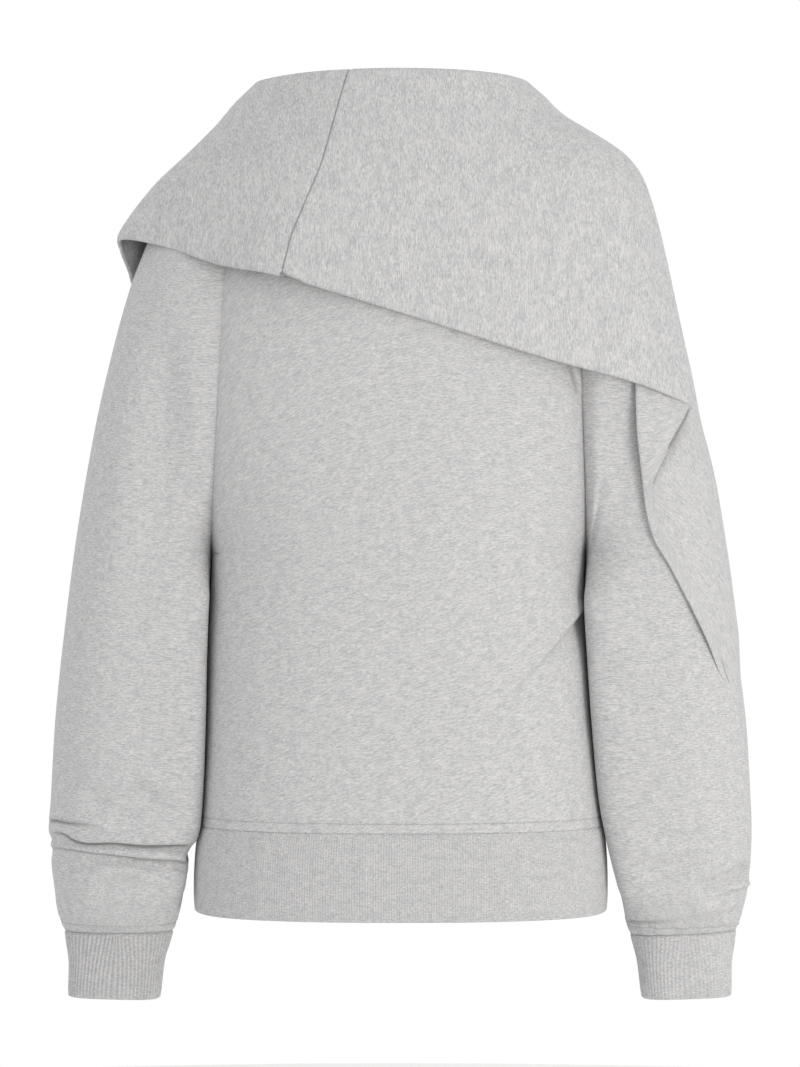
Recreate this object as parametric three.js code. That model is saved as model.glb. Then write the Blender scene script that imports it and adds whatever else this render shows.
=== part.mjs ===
// A loopback sweatshirt, shaped as it is worn: a hollow body with two full sleeves, ribbed cuffs,
// a wide ribbed hem band, a large doubled fold-over collar, and a drape that goes on from the collar
// over one sleeve. The wearer's back faces -Y, so "left" and "right" are those of someone behind them.
// Millimetres, +Z up. The origin is between the shoulders, at the base of the neck.
import * as THREE from "three";

// Cloth
const CLOTH = 2; // one layer of loopback jersey
const DOUBLED = 3.4; // the collar is the same cloth folded double
const RIB_BASE = 2; // rib knit between its ribs
const SEAM_GAP = 0.3; // parting between two pieces that are sewn together
const ARMHOLE_GAP = 0.6; // a little more where two curved edges meet

// Body
const HEM_SEAM_Z = -565.3; // where the body ends and the hem band begins
const HEM_END_Z = -637;
const ARMPIT_Z = -338;
const SHOULDER_Z = -8; // the shoulder point, on top of the armhole
const YOKE_Z = -110; // the body closes over the shoulders from here up
const BODY_SQUARE = 2.35; // 2 is an ellipse, more is boxier
const ARMHOLE_SQUARE = 2.2;
const ARMHOLE_DEPTH = 82; // half of its width, front to back
const NECK_HALF_WIDTH = 100;
const NECK_SIDE_Z = 6;
const NECK_BACK = { depth: 84, z: -15, clear: 0.3 };
const NECK_FRONT = { depth: 77, z: -50, clear: 2.5 };
const NECK_CLEAR_FADE = 0.1; // how soon the collar's clearance starts beside the shoulders

// Ribbed bands
const HEM_RIBS = 440; // 2.1 mm apart round the hem
const HEM_RIB_HEIGHT = 0.5;
const HEM_PLAIN_POINTS = 56;
const CUFF_RIBS = 62; // 3.3 mm apart round the wrist
const CUFF_RIB_HEIGHT = 0.8;
const CUFF_PLAIN_POINTS = 28;
const CUFF_SQUARE = 2.1;

// Collar
const ROLL_RADIUS = 6.5; // outside of the fold along its top
const FALL_PULL = { leavingRoll: 0.8, intoTurn: 0.7, outOfTurn: 0.55 }; // of each stretch's length
const DOWN = new THREE.Vector3(0, 0, -1);
const COLLAR_STEPS = 3; // columns from one station to the next
const ROLL_STEPS = 4;
const UPPER_FALL_STEPS = 3;
const LOWER_FALL_STEPS = 4;

// Mesh density
const BODY_COLUMNS = 18;
const YOKE_ROWS = 4;
const SLEEVE_COLUMNS = 26;
const DRAPE_ROWS = 11;
const FLAP_COLUMNS = 3;
const DRAPE_COLUMNS = 10;
const FINE_STEPS = 1440; // for measuring round a ring
const SMALL_ANGLE = 0.01; // for the direction along a ring

const GREY_JERSEY = { color: 0xcbcac9, roughness: 0.92, metalness: 0 };
const GREY_RIB = { color: 0xc2c1c1, roughness: 0.94, metalness: 0 };

/** Rows of a table as objects with the columns' names. */
function table(columns, rows) {
  return rows.map((row) => Object.fromEntries(columns.map((name, i) => [name, row[i]])));
}

// Half widths and half depths of the body, from the hem seam up. Above the armpit the widths come
// from the armholes.
const BODY = table(
  ["z", "left", "right", "back", "front"],
  [
    [HEM_SEAM_Z, 167.6, 170.6, 115, 115],
    [-545, 165.6, 167.2, 117, 117],
    [-500, 162.6, 161.8, 117, 118],
    [-450, 160.3, 157.4, 118, 119],
    [-400, 158.6, 154.2, 120, 121],
    [-356, 157.2, 153.6, 122, 123],
    [ARMPIT_Z, 157.7, 155.3, 122.5, 124],
    [-322, 158, 156, 123, 125],
    [-290, 158, 156, 124.5, 126.5],
    [-235, 158, 156, 126, 128],
    [-170, 158, 156, 126, 127],
    [YOKE_Z, 158, 156, 121, 120],
  ],
);

// The hem band swells a little between its seam and its lower edge.
const HEM_BAND = table(
  ["z", "left", "right", "back", "front"],
  [
    [HEM_SEAM_Z - 2 * SEAM_GAP, 168.4, 171.2, 115.5, 115.5],
    [-602, 171.8, 172.8, 117, 117],
    [HEM_END_Z, 169, 170, 114, 114],
  ],
);

// Sleeve rings, from the armhole to the cuff seam. Each ring is a squared-off oval between its inner
// point, on the body's side, and its outer point. X is measured outwards from the body's middle.
const RING = ["innerX", "innerZ", "outerX", "outerZ", "middleY", "back", "front"];
const LEFT_SLEEVE = table(RING, [
  [158, ARMPIT_Z, 138, SHOULDER_Z, 0, 82, 82],
  [158.8, -341, 160, -15, 0, 84, 82],
  [159.1, -345, 183, -30, 0, 84, 82],
  [159.3, -349, 202, -55, 0, 82, 81],
  [159.5, -353, 214, -84, 0, 80, 80],
  [159.8, -357, 226.8, -118, 0, 78, 78],
  [160.1, -362, 240.5, -168, 0, 76, 76],
  [160.5, -370, 256, -236, 0, 74, 74],
  [161.2, -388, 270.5, -319, 1, 72, 72],
  [162.4, -424, 281.5, -402, 3, 70, 70],
  [164, -492, 289.5, -476, 6, 68, 68],
  [166.6, -548, 293.8, -546, 9, 67, 66],
  [169.8, -573, 295.6, -570, 10, 65, 65],
  [176.5, -583, 291.6, -578.5, 11, 59, 60],
  [180.4, -590.5, 294, -583.5, 11, 63, 62],
  [179, -598.5, 291.6, -588.5, 12, 58, 59],
  [180, -607, 293.4, -600, 12, 61, 60],
  [182.6, -622, 290.8, -621, 12, 57, 57],
  [185.4, -639, 288.8, -638, 13, 50, 50],
  [189.4, -652, 284.6, -651, 13, 40, 40],
  [191.4, -655.6, 282.4, -655.6, 14, 35.5, 35.5],
]);
const RIGHT_SLEEVE = table(RING, [
  [155.6, ARMPIT_Z, 140, SHOULDER_Z, 0, 82, 82],
  [155.6, -341, 160, -10, 0, 88, 82],
  [155.4, -345, 183, -20, 0, 90, 82],
  [155.2, -349, 201, -40, 0, 86, 82],
  [155.1, -353, 210.5, -68, 0, 84, 81],
  [155, -357, 218.5, -103, 0, 81.5, 80],
  [155, -362, 229, -150, 0, 77, 78],
  [155.1, -371, 246, -228, 0, 73.5, 75],
  [155.4, -390, 265.8, -318, 1, 73, 73],
  [157.8, -428, 277.4, -400, 3, 69, 69],
  [161.3, -478, 288, -474, 6, 68, 67],
  [166.8, -538, 294.6, -540, 9, 67, 67],
  [172.4, -570, 295.8, -571, 10, 66, 65],
  [178.6, -596, 295, -597, 11, 62, 62],
  [184.8, -619, 292.6, -621, 12, 58, 58],
  [188.4, -636, 288.6, -639, 13, 51, 51],
  [190.8, -650, 285.8, -649, 13, 42, 42],
  [194.2, -658.6, 283.2, -654.6, 14, 35.5, 35.5],
]);

// Cuff rings, from the seam down.
const LEFT_CUFF = table(RING, [
  [191.4, -655.9, 282.4, -655.9, 14, 35.5, 35.5],
  [199.4, -683, 278.4, -683, 14, 30, 30],
  [202.6, -712, 279, -710, 14, 29, 29],
]);
const RIGHT_CUFF = table(RING, [
  [194.2, -658.9, 283.2, -654.9, 14, 35.5, 35.5],
  [200.6, -684, 279.2, -682, 14, 30, 30],
  [204, -712, 278.8, -709.5, 14, 29, 29],
]);

// The collar's stations, once round it: the roll along its top, where the cloth turns down over the
// shoulders, and its lower folded edge. The outer drop is longest over the sleeve on the right.
const COLLAR = table(
  ["at", "rollX", "rollY", "rollZ", "turnX", "turnY", "turnZ", "edgeX", "edgeY", "edgeZ"],
  [
    ["joining seam", -40, -78, 59, -64, -112, -20, -96, -128.5, -113],
    ["back", 0, -82, 59.5, 0, -118, -35, 0, -131, -142],
    ["back right", 45, -76, 59, 62, -114, -48, 84, -126, -168],
    ["right shoulder back", 80, -57, 58, 124, -97, -36, 150, -106, -186],
    ["right sleeve back", 97, -34, 57, 174, -67, -26, 197, -93, -198.5],
    ["fold apex", 104, -14, 56.5, 199, -31, -26, 239, -52, -208],
    ["right", 105, 3, 56, 203.5, 3, -25, 249, 3, -212],
    ["right sleeve front", 101, 28, 55, 193, 48, -28, 233, 62, -209],
    ["front right", 68, 62, 51, 116, 100, -48, 140, 113, -198],
    ["front", -6, 79, 45, -4, 122, -52, 0, 137, -174],
    ["front left", -78, 63, 51, -120, 98, -38, -146, 108, -143],
    ["left sleeve front", -110, 32, 55, -178, 50, -14, -218, 54, -119],
    ["left lower corner", -117, 8, 56, -194, 13, -19, -231, 22, -99],
    ["left corner", -118, -7, 56, -195.5, -8, -18, -234.5, -8, -76],
    ["left sleeve back", -112, -31, 57, -170, -50, -8, -205, -52, -81],
    ["left shoulder back", -80, -61, 58, -118, -94, -18, -146, -98, -102],
  ],
);

// The drape's level sections, downwards. The middle, the outermost point and the depth shape each
// arc round the sleeve. The rear edge and the crease are where they are seen from behind, the lift
// is how far the flap beside the crease stands over the cloth below it.
const DRAPE = table(
  ["z", "middleX", "outerX", "middleY", "depth", "rearX", "creaseX", "lift"],
  [
    [-186, 150, 243.6, 0, 95, 195, 236, -3.4],
    [-212.6, 166, 248.8, 0, 92, 193.5, 239, -3],
    [-232, 178, 253.8, 0, 90, 194, 230, 2.5],
    [-251, 188, 258.6, 0, 87, 195.5, 219.5, 5],
    [-267, 196, 262.4, 0, 85, 197.5, 211.5, 3.5],
    [-283, 203, 265.8, 0, 82.5, 199.5, 206, 0.6],
    [-307, 209, 270, 1, 81.5, 203, 210, 0],
    [-328, 212, 273.4, 1, 79.5, 209.5, 217, 0],
    [-348, 214.5, 276.6, 2, 78.5, 222, 229, 0],
    [-378, 217, 280.6, 2, 76.5, 238.5, 245, 0],
    [-410, 219.5, 284, 3, 75, 254.5, 260, 0],
    [-439, 222, 287.4, 4, 74.5, 269, 273, 0],
    [-452, 223, 289, 5, 74.5, 276, 279, 0],
  ],
);
const DRAPE_END_Z = -451;
const DRAPE_SQUARE = 2.1;
const FLAP_TUCK = { rear: 21, crease: 6 }; // how far the flap goes on up under the collar's edge
const REAR_LIFT = 0.25; // of the crease's lift, at the flap's rear edge
const CREASE_ANGLE = 0.06; // round the sleeve, in which the flap steps down to the cloth below

/** A smooth curve through one column of a table, against another column or the rows' numbers. */
function through(rows, column, against) {
  const x = rows.map((row, i) => (against ? row[against] : i));
  const y = rows.map((row) => row[column]);
  const last = rows.length - 1;
  const slope = (i) => {
    const a = Math.max(i - 1, 0);
    const b = Math.min(i + 1, last);
    return (y[b] - y[a]) / (x[b] - x[a]);
  };
  const falling = x[last] < x[0];
  return (at) => {
    let i = 0;
    while (i < last - 1 && (falling ? at < x[i + 1] : at > x[i + 1])) i += 1;
    const width = x[i + 1] - x[i];
    const t = Math.min(1, Math.max(0, (at - x[i]) / width));
    const rise = t * t * (3 - 2 * t);
    const bow = t * (1 - t) * width;
    return y[i] + (y[i + 1] - y[i]) * rise + bow * ((1 - t) * slope(i) - t * slope(i + 1));
  };
}

/** A smooth closed curve through one column of a table, once round its rows. */
function round(rows, column) {
  const y = rows.map((row) => row[column]);
  const count = y.length;
  return (at) => {
    const i = Math.floor(at);
    const t = at - i;
    const [a, b, c, d] = [-1, 0, 1, 2].map((step) => y[(i + step + count) % count]);
    return b + 0.5 * t * (c - a + t * (2 * a - 5 * b + 4 * c - d + t * (3 * (b - c) + d - a)));
  };
}

/** The two coordinates, from -1 to 1, of a squared-off oval. Angle 0 is sideways, then the front. */
function oval(angle, square) {
  const c = Math.cos(angle);
  const s = Math.sin(angle);
  return [Math.sign(c) * Math.abs(c) ** (2 / square), Math.sign(s) * Math.abs(s) ** (2 / square)];
}

/** A point of a sleeve or cuff ring. side is -1 for the left sleeve and 1 for the right one. */
function ringPoint(ring, side, angle, square = ARMHOLE_SQUARE) {
  const [along, across] = oval(angle, square);
  const share = (1 + along) / 2;
  const x = ring.innerX + (ring.outerX - ring.innerX) * share;
  const z = ring.innerZ + (ring.outerZ - ring.innerZ) * share;
  const y = ring.middleY + across * (across < 0 ? ring.back : ring.front);
  return new THREE.Vector3(side * x, y, z);
}

/** A point of a level ring round the body. */
function bodyPoint(size, angle, square = BODY_SQUARE) {
  const [along, across] = oval(angle, square);
  const x = along * (along < 0 ? size.left : size.right);
  const y = across * (across < 0 ? size.back : size.front);
  return new THREE.Vector3(x, y, size.z);
}

/** Numbers from a to b in equal steps, both ends included. */
function steps(a, b, count) {
  return Array.from({ length: count + 1 }, (_, i) => a + ((b - a) * i) / count);
}

/** Unit vectors square to a grid of points; columns meet round when closed. */
function squareTo(grid, closed) {
  const rows = grid.length;
  const columns = grid[0].length;
  return grid.map((row, i) =>
    row.map((_, j) => {
      const before = closed ? (j + columns - 1) % columns : Math.max(j - 1, 0);
      const after = closed ? (j + 1) % columns : Math.min(j + 1, columns - 1);
      const across = row[after].clone().sub(row[before]);
      const down = grid[Math.min(i + 1, rows - 1)][j].clone().sub(grid[Math.max(i - 1, 0)][j]);
      return across.cross(down).normalize();
    }),
  );
}

/** A geometry from points and triangles, turned so that its faces point outwards. */
function closedGeometry(points, triangles) {
  let volume = 0;
  for (const [a, b, c] of triangles) {
    volume += points[a].dot(points[b].clone().cross(points[c]));
  }
  const facing = volume < 0 ? triangles.map(([a, b, c]) => [a, c, b]) : triangles;
  const geometry = new THREE.BufferGeometry().setFromPoints(points);
  geometry.setIndex(facing.flat());
  geometry.computeVertexNormals();
  return geometry;
}

/** The two triangles between four corners of a grid. */
function quad(a, b, c, d) {
  return [
    [a, b, c],
    [a, c, d],
  ];
}

/** A wall of cloth: a grid of outside points, and the same grid moved in by the thickness. */
function clothWall(grid, thickness, { closed = false, turned = false, level } = {}) {
  const rows = grid.length;
  const columns = grid[0].length;
  const layer = rows * columns;
  const normals = squareTo(grid, closed);
  if (level) level(normals);
  const inward = turned ? thickness : -thickness;
  const inside = grid.map((row, i) => row.map((p, j) => p.clone().addScaledVector(normals[i][j], inward)));
  const points = [...grid.flat(), ...inside.flat()];
  const at = (i, j) => i * columns + (j % columns);
  const triangles = [];
  for (let i = 0; i < rows - 1; i += 1) {
    for (let j = 0; j < (closed ? columns : columns - 1); j += 1) {
      const corners = [at(i, j), at(i, j + 1), at(i + 1, j + 1), at(i + 1, j)];
      triangles.push(...quad(...corners), ...quad(...corners.map((n) => n + layer).reverse()));
    }
  }
  for (let j = 0; j < (closed ? columns : columns - 1); j += 1) {
    const top = [at(0, j), at(0, j + 1)];
    const end = [at(rows - 1, j), at(rows - 1, j + 1)];
    triangles.push(...quad(top[1], top[0], top[0] + layer, top[1] + layer));
    triangles.push(...quad(end[0], end[1], end[1] + layer, end[0] + layer));
  }
  for (let i = 0; !closed && i < rows - 1; i += 1) {
    const first = [at(i, 0), at(i + 1, 0)];
    const last = [at(i, columns - 1), at(i + 1, columns - 1)];
    triangles.push(...quad(first[0], first[1], first[1] + layer, first[0] + layer));
    triangles.push(...quad(last[1], last[0], last[0] + layer, last[1] + layer));
  }
  return closedGeometry(points, triangles);
}

/** Angles at which the points of a ring lie equally far apart round it. */
function evenAngles(pointAt, count) {
  const fine = steps(0, 2 * Math.PI, FINE_STEPS);
  const along = [0];
  for (let i = 1; i < fine.length; i += 1) {
    along.push(along[i - 1] + pointAt(fine[i]).distanceTo(pointAt(fine[i - 1])));
  }
  const total = along[along.length - 1];
  let i = 0;
  return Array.from({ length: count }, (_, n) => {
    const wanted = (total * n) / count;
    while (along[i + 1] < wanted) i += 1;
    return fine[i] + ((fine[i + 1] - fine[i]) * (wanted - along[i])) / (along[i + 1] - along[i]);
  });
}

/** A ribbed tube: ribs raised in its outside points, over a plain inside with fewer points. */
function ribbedTube(rings, pointAt, ribs, ribHeight, plainPoints) {
  const middle = rings[Math.floor(rings.length / 2)];
  const outerAngles = evenAngles((angle) => pointAt(middle, angle), 2 * ribs);
  const innerAngles = evenAngles((angle) => pointAt(middle, angle), plainPoints);
  const moved = (ring, angle, by) => {
    const along = pointAt(ring, angle + SMALL_ANGLE).sub(pointAt(ring, angle - SMALL_ANGLE));
    const out = new THREE.Vector3(along.y, -along.x, 0).normalize();
    const point = pointAt(ring, angle);
    const away = out.dot(pointAt(ring, angle).sub(pointAt(ring, angle + Math.PI))) > 0 ? 1 : -1;
    return point.addScaledVector(out, by * away);
  };
  const outer = rings.map((ring) =>
    outerAngles.map((angle, i) => moved(ring, angle, i % 2 ? 0 : ribHeight)),
  );
  const inner = rings.map((ring) => innerAngles.map((angle) => moved(ring, angle, -RIB_BASE)));
  const points = [...outer.flat(), ...inner.flat()];
  const many = outerAngles.length;
  const few = innerAngles.length;
  const start = rings.length * many;
  const outerAt = (i, j) => i * many + (j % many);
  const innerAt = (i, j) => start + i * few + (j % few);
  const triangles = [];
  for (let i = 0; i < rings.length - 1; i += 1) {
    for (let j = 0; j < many; j += 1) {
      triangles.push(...quad(outerAt(i, j), outerAt(i, j + 1), outerAt(i + 1, j + 1), outerAt(i + 1, j)));
    }
    for (let j = 0; j < few; j += 1) {
      triangles.push(...quad(innerAt(i + 1, j), innerAt(i + 1, j + 1), innerAt(i, j + 1), innerAt(i, j)));
    }
  }
  for (const [i, top] of [[0, true], [rings.length - 1, false]]) {
    let a = 0;
    let b = 0;
    while (a < many || b < few) {
      const outerNext = (a + 1) / many <= (b + 1) / few && a < many;
      const face = outerNext
        ? [outerAt(i, a + 1), outerAt(i, a), innerAt(i, b)]
        : [innerAt(i, b), innerAt(i, b + 1), outerAt(i, a)];
      triangles.push(top ? face : face.reverse());
      if (outerNext) a += 1;
      else b += 1;
    }
  }
  return closedGeometry(points, triangles);
}

/** Half of the armhole's width, front to back, at a height above the armpit. */
function armholeDepth(z) {
  const middle = (ARMPIT_Z + SHOULDER_Z) / 2;
  const half = (SHOULDER_Z - ARMPIT_Z) / 2;
  const share = Math.min(1, Math.abs(z - middle) / half);
  return ARMHOLE_DEPTH * (1 - share ** ARMHOLE_SQUARE) ** (1 / ARMHOLE_SQUARE);
}

/** How far out an armhole's plane is at a height. */
function armholeX(ring, z) {
  const share = (z - ring.innerZ) / (ring.outerZ - ring.innerZ);
  return ring.innerX + (ring.outerX - ring.innerX) * share;
}

/** A body panel from the hem seam to the shoulders. face is -1 for the back and 1 for the front. */
function bodyPanel(face) {
  const depthColumn = face < 0 ? "back" : "front";
  const depthAt = through(BODY, depthColumn, "z");
  const neck = face < 0 ? NECK_BACK : NECK_FRONT;
  const levels = BODY.map((row) => row.z);
  const half = SEAM_GAP / 2;
  const row = (z) => {
    const below = z <= ARMPIT_Z;
    const depth = depthAt(z);
    const edgeDepth = below ? half : Math.max(armholeDepth(z), half);
    const spread = (1 - (edgeDepth / depth) ** BODY_SQUARE) ** (1 / BODY_SQUARE);
    const halfWidth = (column, ring) => {
      const edge = below ? through(BODY, column, "z")(z) : armholeX(ring, z) - half;
      return edge / spread;
    };
    const size = {
      z,
      left: halfWidth("left", LEFT_SLEEVE[0]),
      right: halfWidth("right", RIGHT_SLEEVE[0]),
      back: depth,
      front: depth,
    };
    const edgeAngle = Math.asin((edgeDepth / depth) ** (BODY_SQUARE / 2));
    return steps(Math.PI - edgeAngle, edgeAngle, BODY_COLUMNS).map((angle) =>
      bodyPoint(size, face * angle),
    );
  };
  const grid = levels.map(row);
  // The yoke closes from the last level row to the shoulder seams and the neckline.
  const start = grid[grid.length - 1];
  const top = start.map((point) => {
    const x = point.x;
    const share = Math.abs(x) / NECK_HALF_WIDTH;
    if (share < 1) {
      const dip = Math.sqrt(1 - share * share);
      const z = NECK_SIDE_Z + (neck.z - NECK_SIDE_Z) * dip * dip;
      return new THREE.Vector3(x, face * Math.max(neck.depth * dip, half), z);
    }
    const ring = x < 0 ? LEFT_SLEEVE[0] : RIGHT_SLEEVE[0];
    const reach = ring.outerX - half;
    const startReach = armholeX(ring, YOKE_Z) - half;
    const out = (Math.abs(x) - NECK_HALF_WIDTH) / (startReach - NECK_HALF_WIDTH);
    const z = NECK_SIDE_Z + (SHOULDER_Z - NECK_SIDE_Z) * out;
    const along = NECK_HALF_WIDTH + (reach - NECK_HALF_WIDTH) * out;
    return new THREE.Vector3(Math.sign(x) * along, face * half, z);
  });
  const startDepth = armholeDepth(YOKE_Z);
  for (let n = 1; n <= YOKE_ROWS; n += 1) {
    const turn = (1 - n / YOKE_ROWS) * Math.asin((startDepth / ARMHOLE_DEPTH) ** (ARMHOLE_SQUARE / 2));
    const middle = (ARMPIT_Z + SHOULDER_Z) / 2;
    const z = middle + ((SHOULDER_Z - ARMPIT_Z) / 2) * Math.cos(turn) ** (2 / ARMHOLE_SQUARE);
    const depth = ARMHOLE_DEPTH * Math.sin(turn) ** (2 / ARMHOLE_SQUARE);
    const rise = (z - YOKE_Z) / (SHOULDER_Z - YOKE_Z);
    const close = 1 - depth / startDepth;
    grid.push(
      start.map((from, j) => {
        const to = top[j];
        return new THREE.Vector3(
          from.x + (to.x - from.x) * rise,
          from.y + (to.y - from.y) * close,
          from.z + (to.z - from.z) * rise,
        );
      }),
    );
  }
  // Along the side and shoulder seams the cloth's thickness stays in the seam's own plane.
  const rowsBelowArmpit = levels.filter((z) => z <= ARMPIT_Z).length;
  const level = (normals) => {
    for (let i = 0; i < rowsBelowArmpit; i += 1) {
      for (const j of [0, BODY_COLUMNS]) normals[i][j].setY(0).normalize();
    }
    top.forEach((point, j) => {
      if (Math.abs(point.y) < SEAM_GAP) normals[normals.length - 1][j].setY(0).normalize();
    });
  };
  return clothWall(grid, CLOTH, { turned: face > 0, level });
}

/** A sleeve, from just outside its armhole to the cuff seam. */
function sleeve(rings, side) {
  const angles = steps(0, 2 * Math.PI, SLEEVE_COLUMNS).slice(0, -1);
  const parted = rings.map((ring, i) =>
    i === 0 ? { ...ring, innerX: ring.innerX + ARMHOLE_GAP, outerX: ring.outerX + ARMHOLE_GAP } : ring,
  );
  const grid = parted.map((ring) => angles.map((angle) => ringPoint(ring, side, angle)));
  return clothWall(grid, CLOTH, { closed: true, turned: side > 0 });
}

/** A ribbed cuff. */
function cuff(rings, side) {
  const pointAt = (ring, angle) => ringPoint(ring, side, angle, CUFF_SQUARE);
  return ribbedTube(rings, pointAt, CUFF_RIBS, CUFF_RIB_HEIGHT, CUFF_PLAIN_POINTS);
}

/** The ribbed hem band. */
function hemBand() {
  return ribbedTube(HEM_BAND, bodyPoint, HEM_RIBS, HEM_RIB_HEIGHT, HEM_PLAIN_POINTS);
}

/** A point between two others on a cubic curve with these directions at its ends. */
function bend(from, to, leaving, arriving, t) {
  const u = 1 - t;
  return from
    .clone()
    .multiplyScalar(u * u * (1 + 2 * t))
    .addScaledVector(to, t * t * (3 - 2 * t))
    .addScaledVector(leaving, u * u * t)
    .addScaledVector(arriving, -u * t * t);
}

/** The collar's cloth at one place round it, from the neckline up, over the roll and down. */
function collarSection(at) {
  const value = (column) => round(COLLAR, column)(at);
  const roll = new THREE.Vector3(value("rollX"), value("rollY"), value("rollZ"));
  const turn = new THREE.Vector3(value("turnX"), value("turnY"), value("turnZ"));
  const edge = new THREE.Vector3(value("edgeX"), value("edgeY"), value("edgeZ"));
  const around = Math.atan2(roll.y / NECK_BACK.depth, roll.x / NECK_HALF_WIDTH);
  const neck = roll.y < 0 ? NECK_BACK : NECK_FRONT;
  const dip = Math.sin(around) ** 2;
  const base = new THREE.Vector3(
    NECK_HALF_WIDTH * Math.cos(around),
    neck.depth * Math.sin(around),
    NECK_SIDE_Z + (neck.z - NECK_SIDE_Z) * dip + SEAM_GAP + neck.clear * dip ** NECK_CLEAR_FADE,
  );
  const outward = new THREE.Vector3(turn.x - roll.x, turn.y - roll.y, 0).normalize();
  const slope = Math.atan2(roll.z - turn.z, Math.hypot(turn.x - roll.x, turn.y - roll.y));
  const middle = roll.clone().setZ(roll.z - ROLL_RADIUS);
  const onRoll = (angle) =>
    middle
      .clone()
      .addScaledVector(outward, ROLL_RADIUS * Math.sin(angle))
      .setZ(middle.z + ROLL_RADIUS * Math.cos(angle));
  const stand = [base, base.clone().lerp(onRoll(-Math.PI / 2), 0.5)];
  const overRoll = steps(-Math.PI / 2, slope, ROLL_STEPS).map(onRoll);
  const from = overRoll[overRoll.length - 1];
  const first = turn.clone().sub(from);
  const second = edge.clone().sub(turn);
  const leaving = outward.clone().multiplyScalar(Math.cos(slope)).setZ(-Math.sin(slope));
  leaving.multiplyScalar(FALL_PULL.leavingRoll * first.length());
  const overTurn = first.clone().normalize().add(second.clone().normalize()).normalize();
  const hanging = second.clone().normalize().add(DOWN).normalize().multiplyScalar(second.length());
  const intoTurn = overTurn.clone().multiplyScalar(FALL_PULL.intoTurn * first.length());
  const outOfTurn = overTurn.clone().multiplyScalar(FALL_PULL.outOfTurn * second.length());
  const upper = steps(0, 1, UPPER_FALL_STEPS)
    .slice(1)
    .map((t) => bend(from, turn, leaving, intoTurn, t));
  const lower = steps(0, 1, LOWER_FALL_STEPS)
    .slice(1)
    .map((t) => bend(turn, edge, outOfTurn, hanging, t));
  return [...stand, ...overRoll, ...upper, ...lower];
}

/** The collar: one closed ring of doubled cloth. */
function collar() {
  const places = steps(0, COLLAR.length, COLLAR.length * COLLAR_STEPS).slice(0, -1);
  const sections = places.map(collarSection);
  const grid = sections[0].map((_, i) => sections.map((section) => section[i]));
  return clothWall(grid, DOUBLED, { closed: true, turned: true });
}

/** The drape over the right sleeve, with the flap that folds over at its rear edge. */
function drape() {
  const at = (column, z) => through(DRAPE, column, "z")(z);
  const point = (z, angle, lift) => {
    const [along, across] = oval(angle, DRAPE_SQUARE);
    const outward = at("outerX", z) - at("middleX", z) + lift;
    return new THREE.Vector3(
      at("middleX", z) + outward * along,
      at("middleY", z) + (at("depth", z) + lift) * across,
      z,
    );
  };
  const angleOf = (z, column) => {
    const share = (at(column, z) - at("middleX", z)) / (at("outerX", z) - at("middleX", z));
    const clipped = Math.min(1, Math.abs(share)) ** (DRAPE_SQUARE / 2);
    return -Math.acos(Math.sign(share) * clipped);
  };
  const topZ = DRAPE[1].z;
  const flapTop = (share) => topZ + FLAP_TUCK.rear + (FLAP_TUCK.crease - FLAP_TUCK.rear) * share;
  const grid = steps(0, 1, DRAPE_ROWS).map((down) => {
    const flap = steps(0, 1, FLAP_COLUMNS).map((share) => {
      const z = flapTop(share) + (DRAPE_END_Z - flapTop(share)) * down;
      const rear = angleOf(z, "rearX");
      const angle = rear + (angleOf(z, "creaseX") - rear) * share;
      return point(z, angle, at("lift", z) * (REAR_LIFT + (1 - REAR_LIFT) * share));
    });
    const z = topZ + (DRAPE_END_Z - topZ) * down;
    const crease = angleOf(z, "creaseX") + CREASE_ANGLE;
    const front = -angleOf(z, "rearX");
    const rest = steps(crease, front, DRAPE_COLUMNS).map((angle) => point(z, angle, 0));
    return [...flap, ...rest];
  });
  return clothWall(grid, CLOTH, { turned: true });
}

const sweatshirt = new THREE.Group();

/** Adds one piece of the garment. */
function addPiece(name, geometry, finish) {
  const mesh = new THREE.Mesh(geometry, new THREE.MeshStandardMaterial(finish));
  mesh.name = name;
  sweatshirt.add(mesh);
}

addPiece("back_panel", bodyPanel(-1), GREY_JERSEY);
addPiece("front_panel", bodyPanel(1), GREY_JERSEY);
addPiece("sleeve_left", sleeve(LEFT_SLEEVE, -1), GREY_JERSEY);
addPiece("sleeve_right", sleeve(RIGHT_SLEEVE, 1), GREY_JERSEY);
addPiece("cuff_left", cuff(LEFT_CUFF, -1), GREY_RIB);
addPiece("cuff_right", cuff(RIGHT_CUFF, 1), GREY_RIB);
addPiece("hem_band", hemBand(), GREY_RIB);
addPiece("collar", collar(), GREY_JERSEY);
addPiece("drape", drape(), GREY_JERSEY);

export default sweatshirt;
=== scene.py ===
"""A grey loopback sweatshirt with a draped fold-over collar, shaped as worn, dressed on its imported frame.

Tables are in millimetres and meshes in metres. The wearer's back faces -Y, towards the camera, so left
and right are those of someone behind them. A place "as seen" is where the camera sees it, measured in
the plane of the shoulders.
"""

from __future__ import annotations

import logging
import math
from dataclasses import dataclass
from enum import Enum
from typing import Any, Sequence

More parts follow.
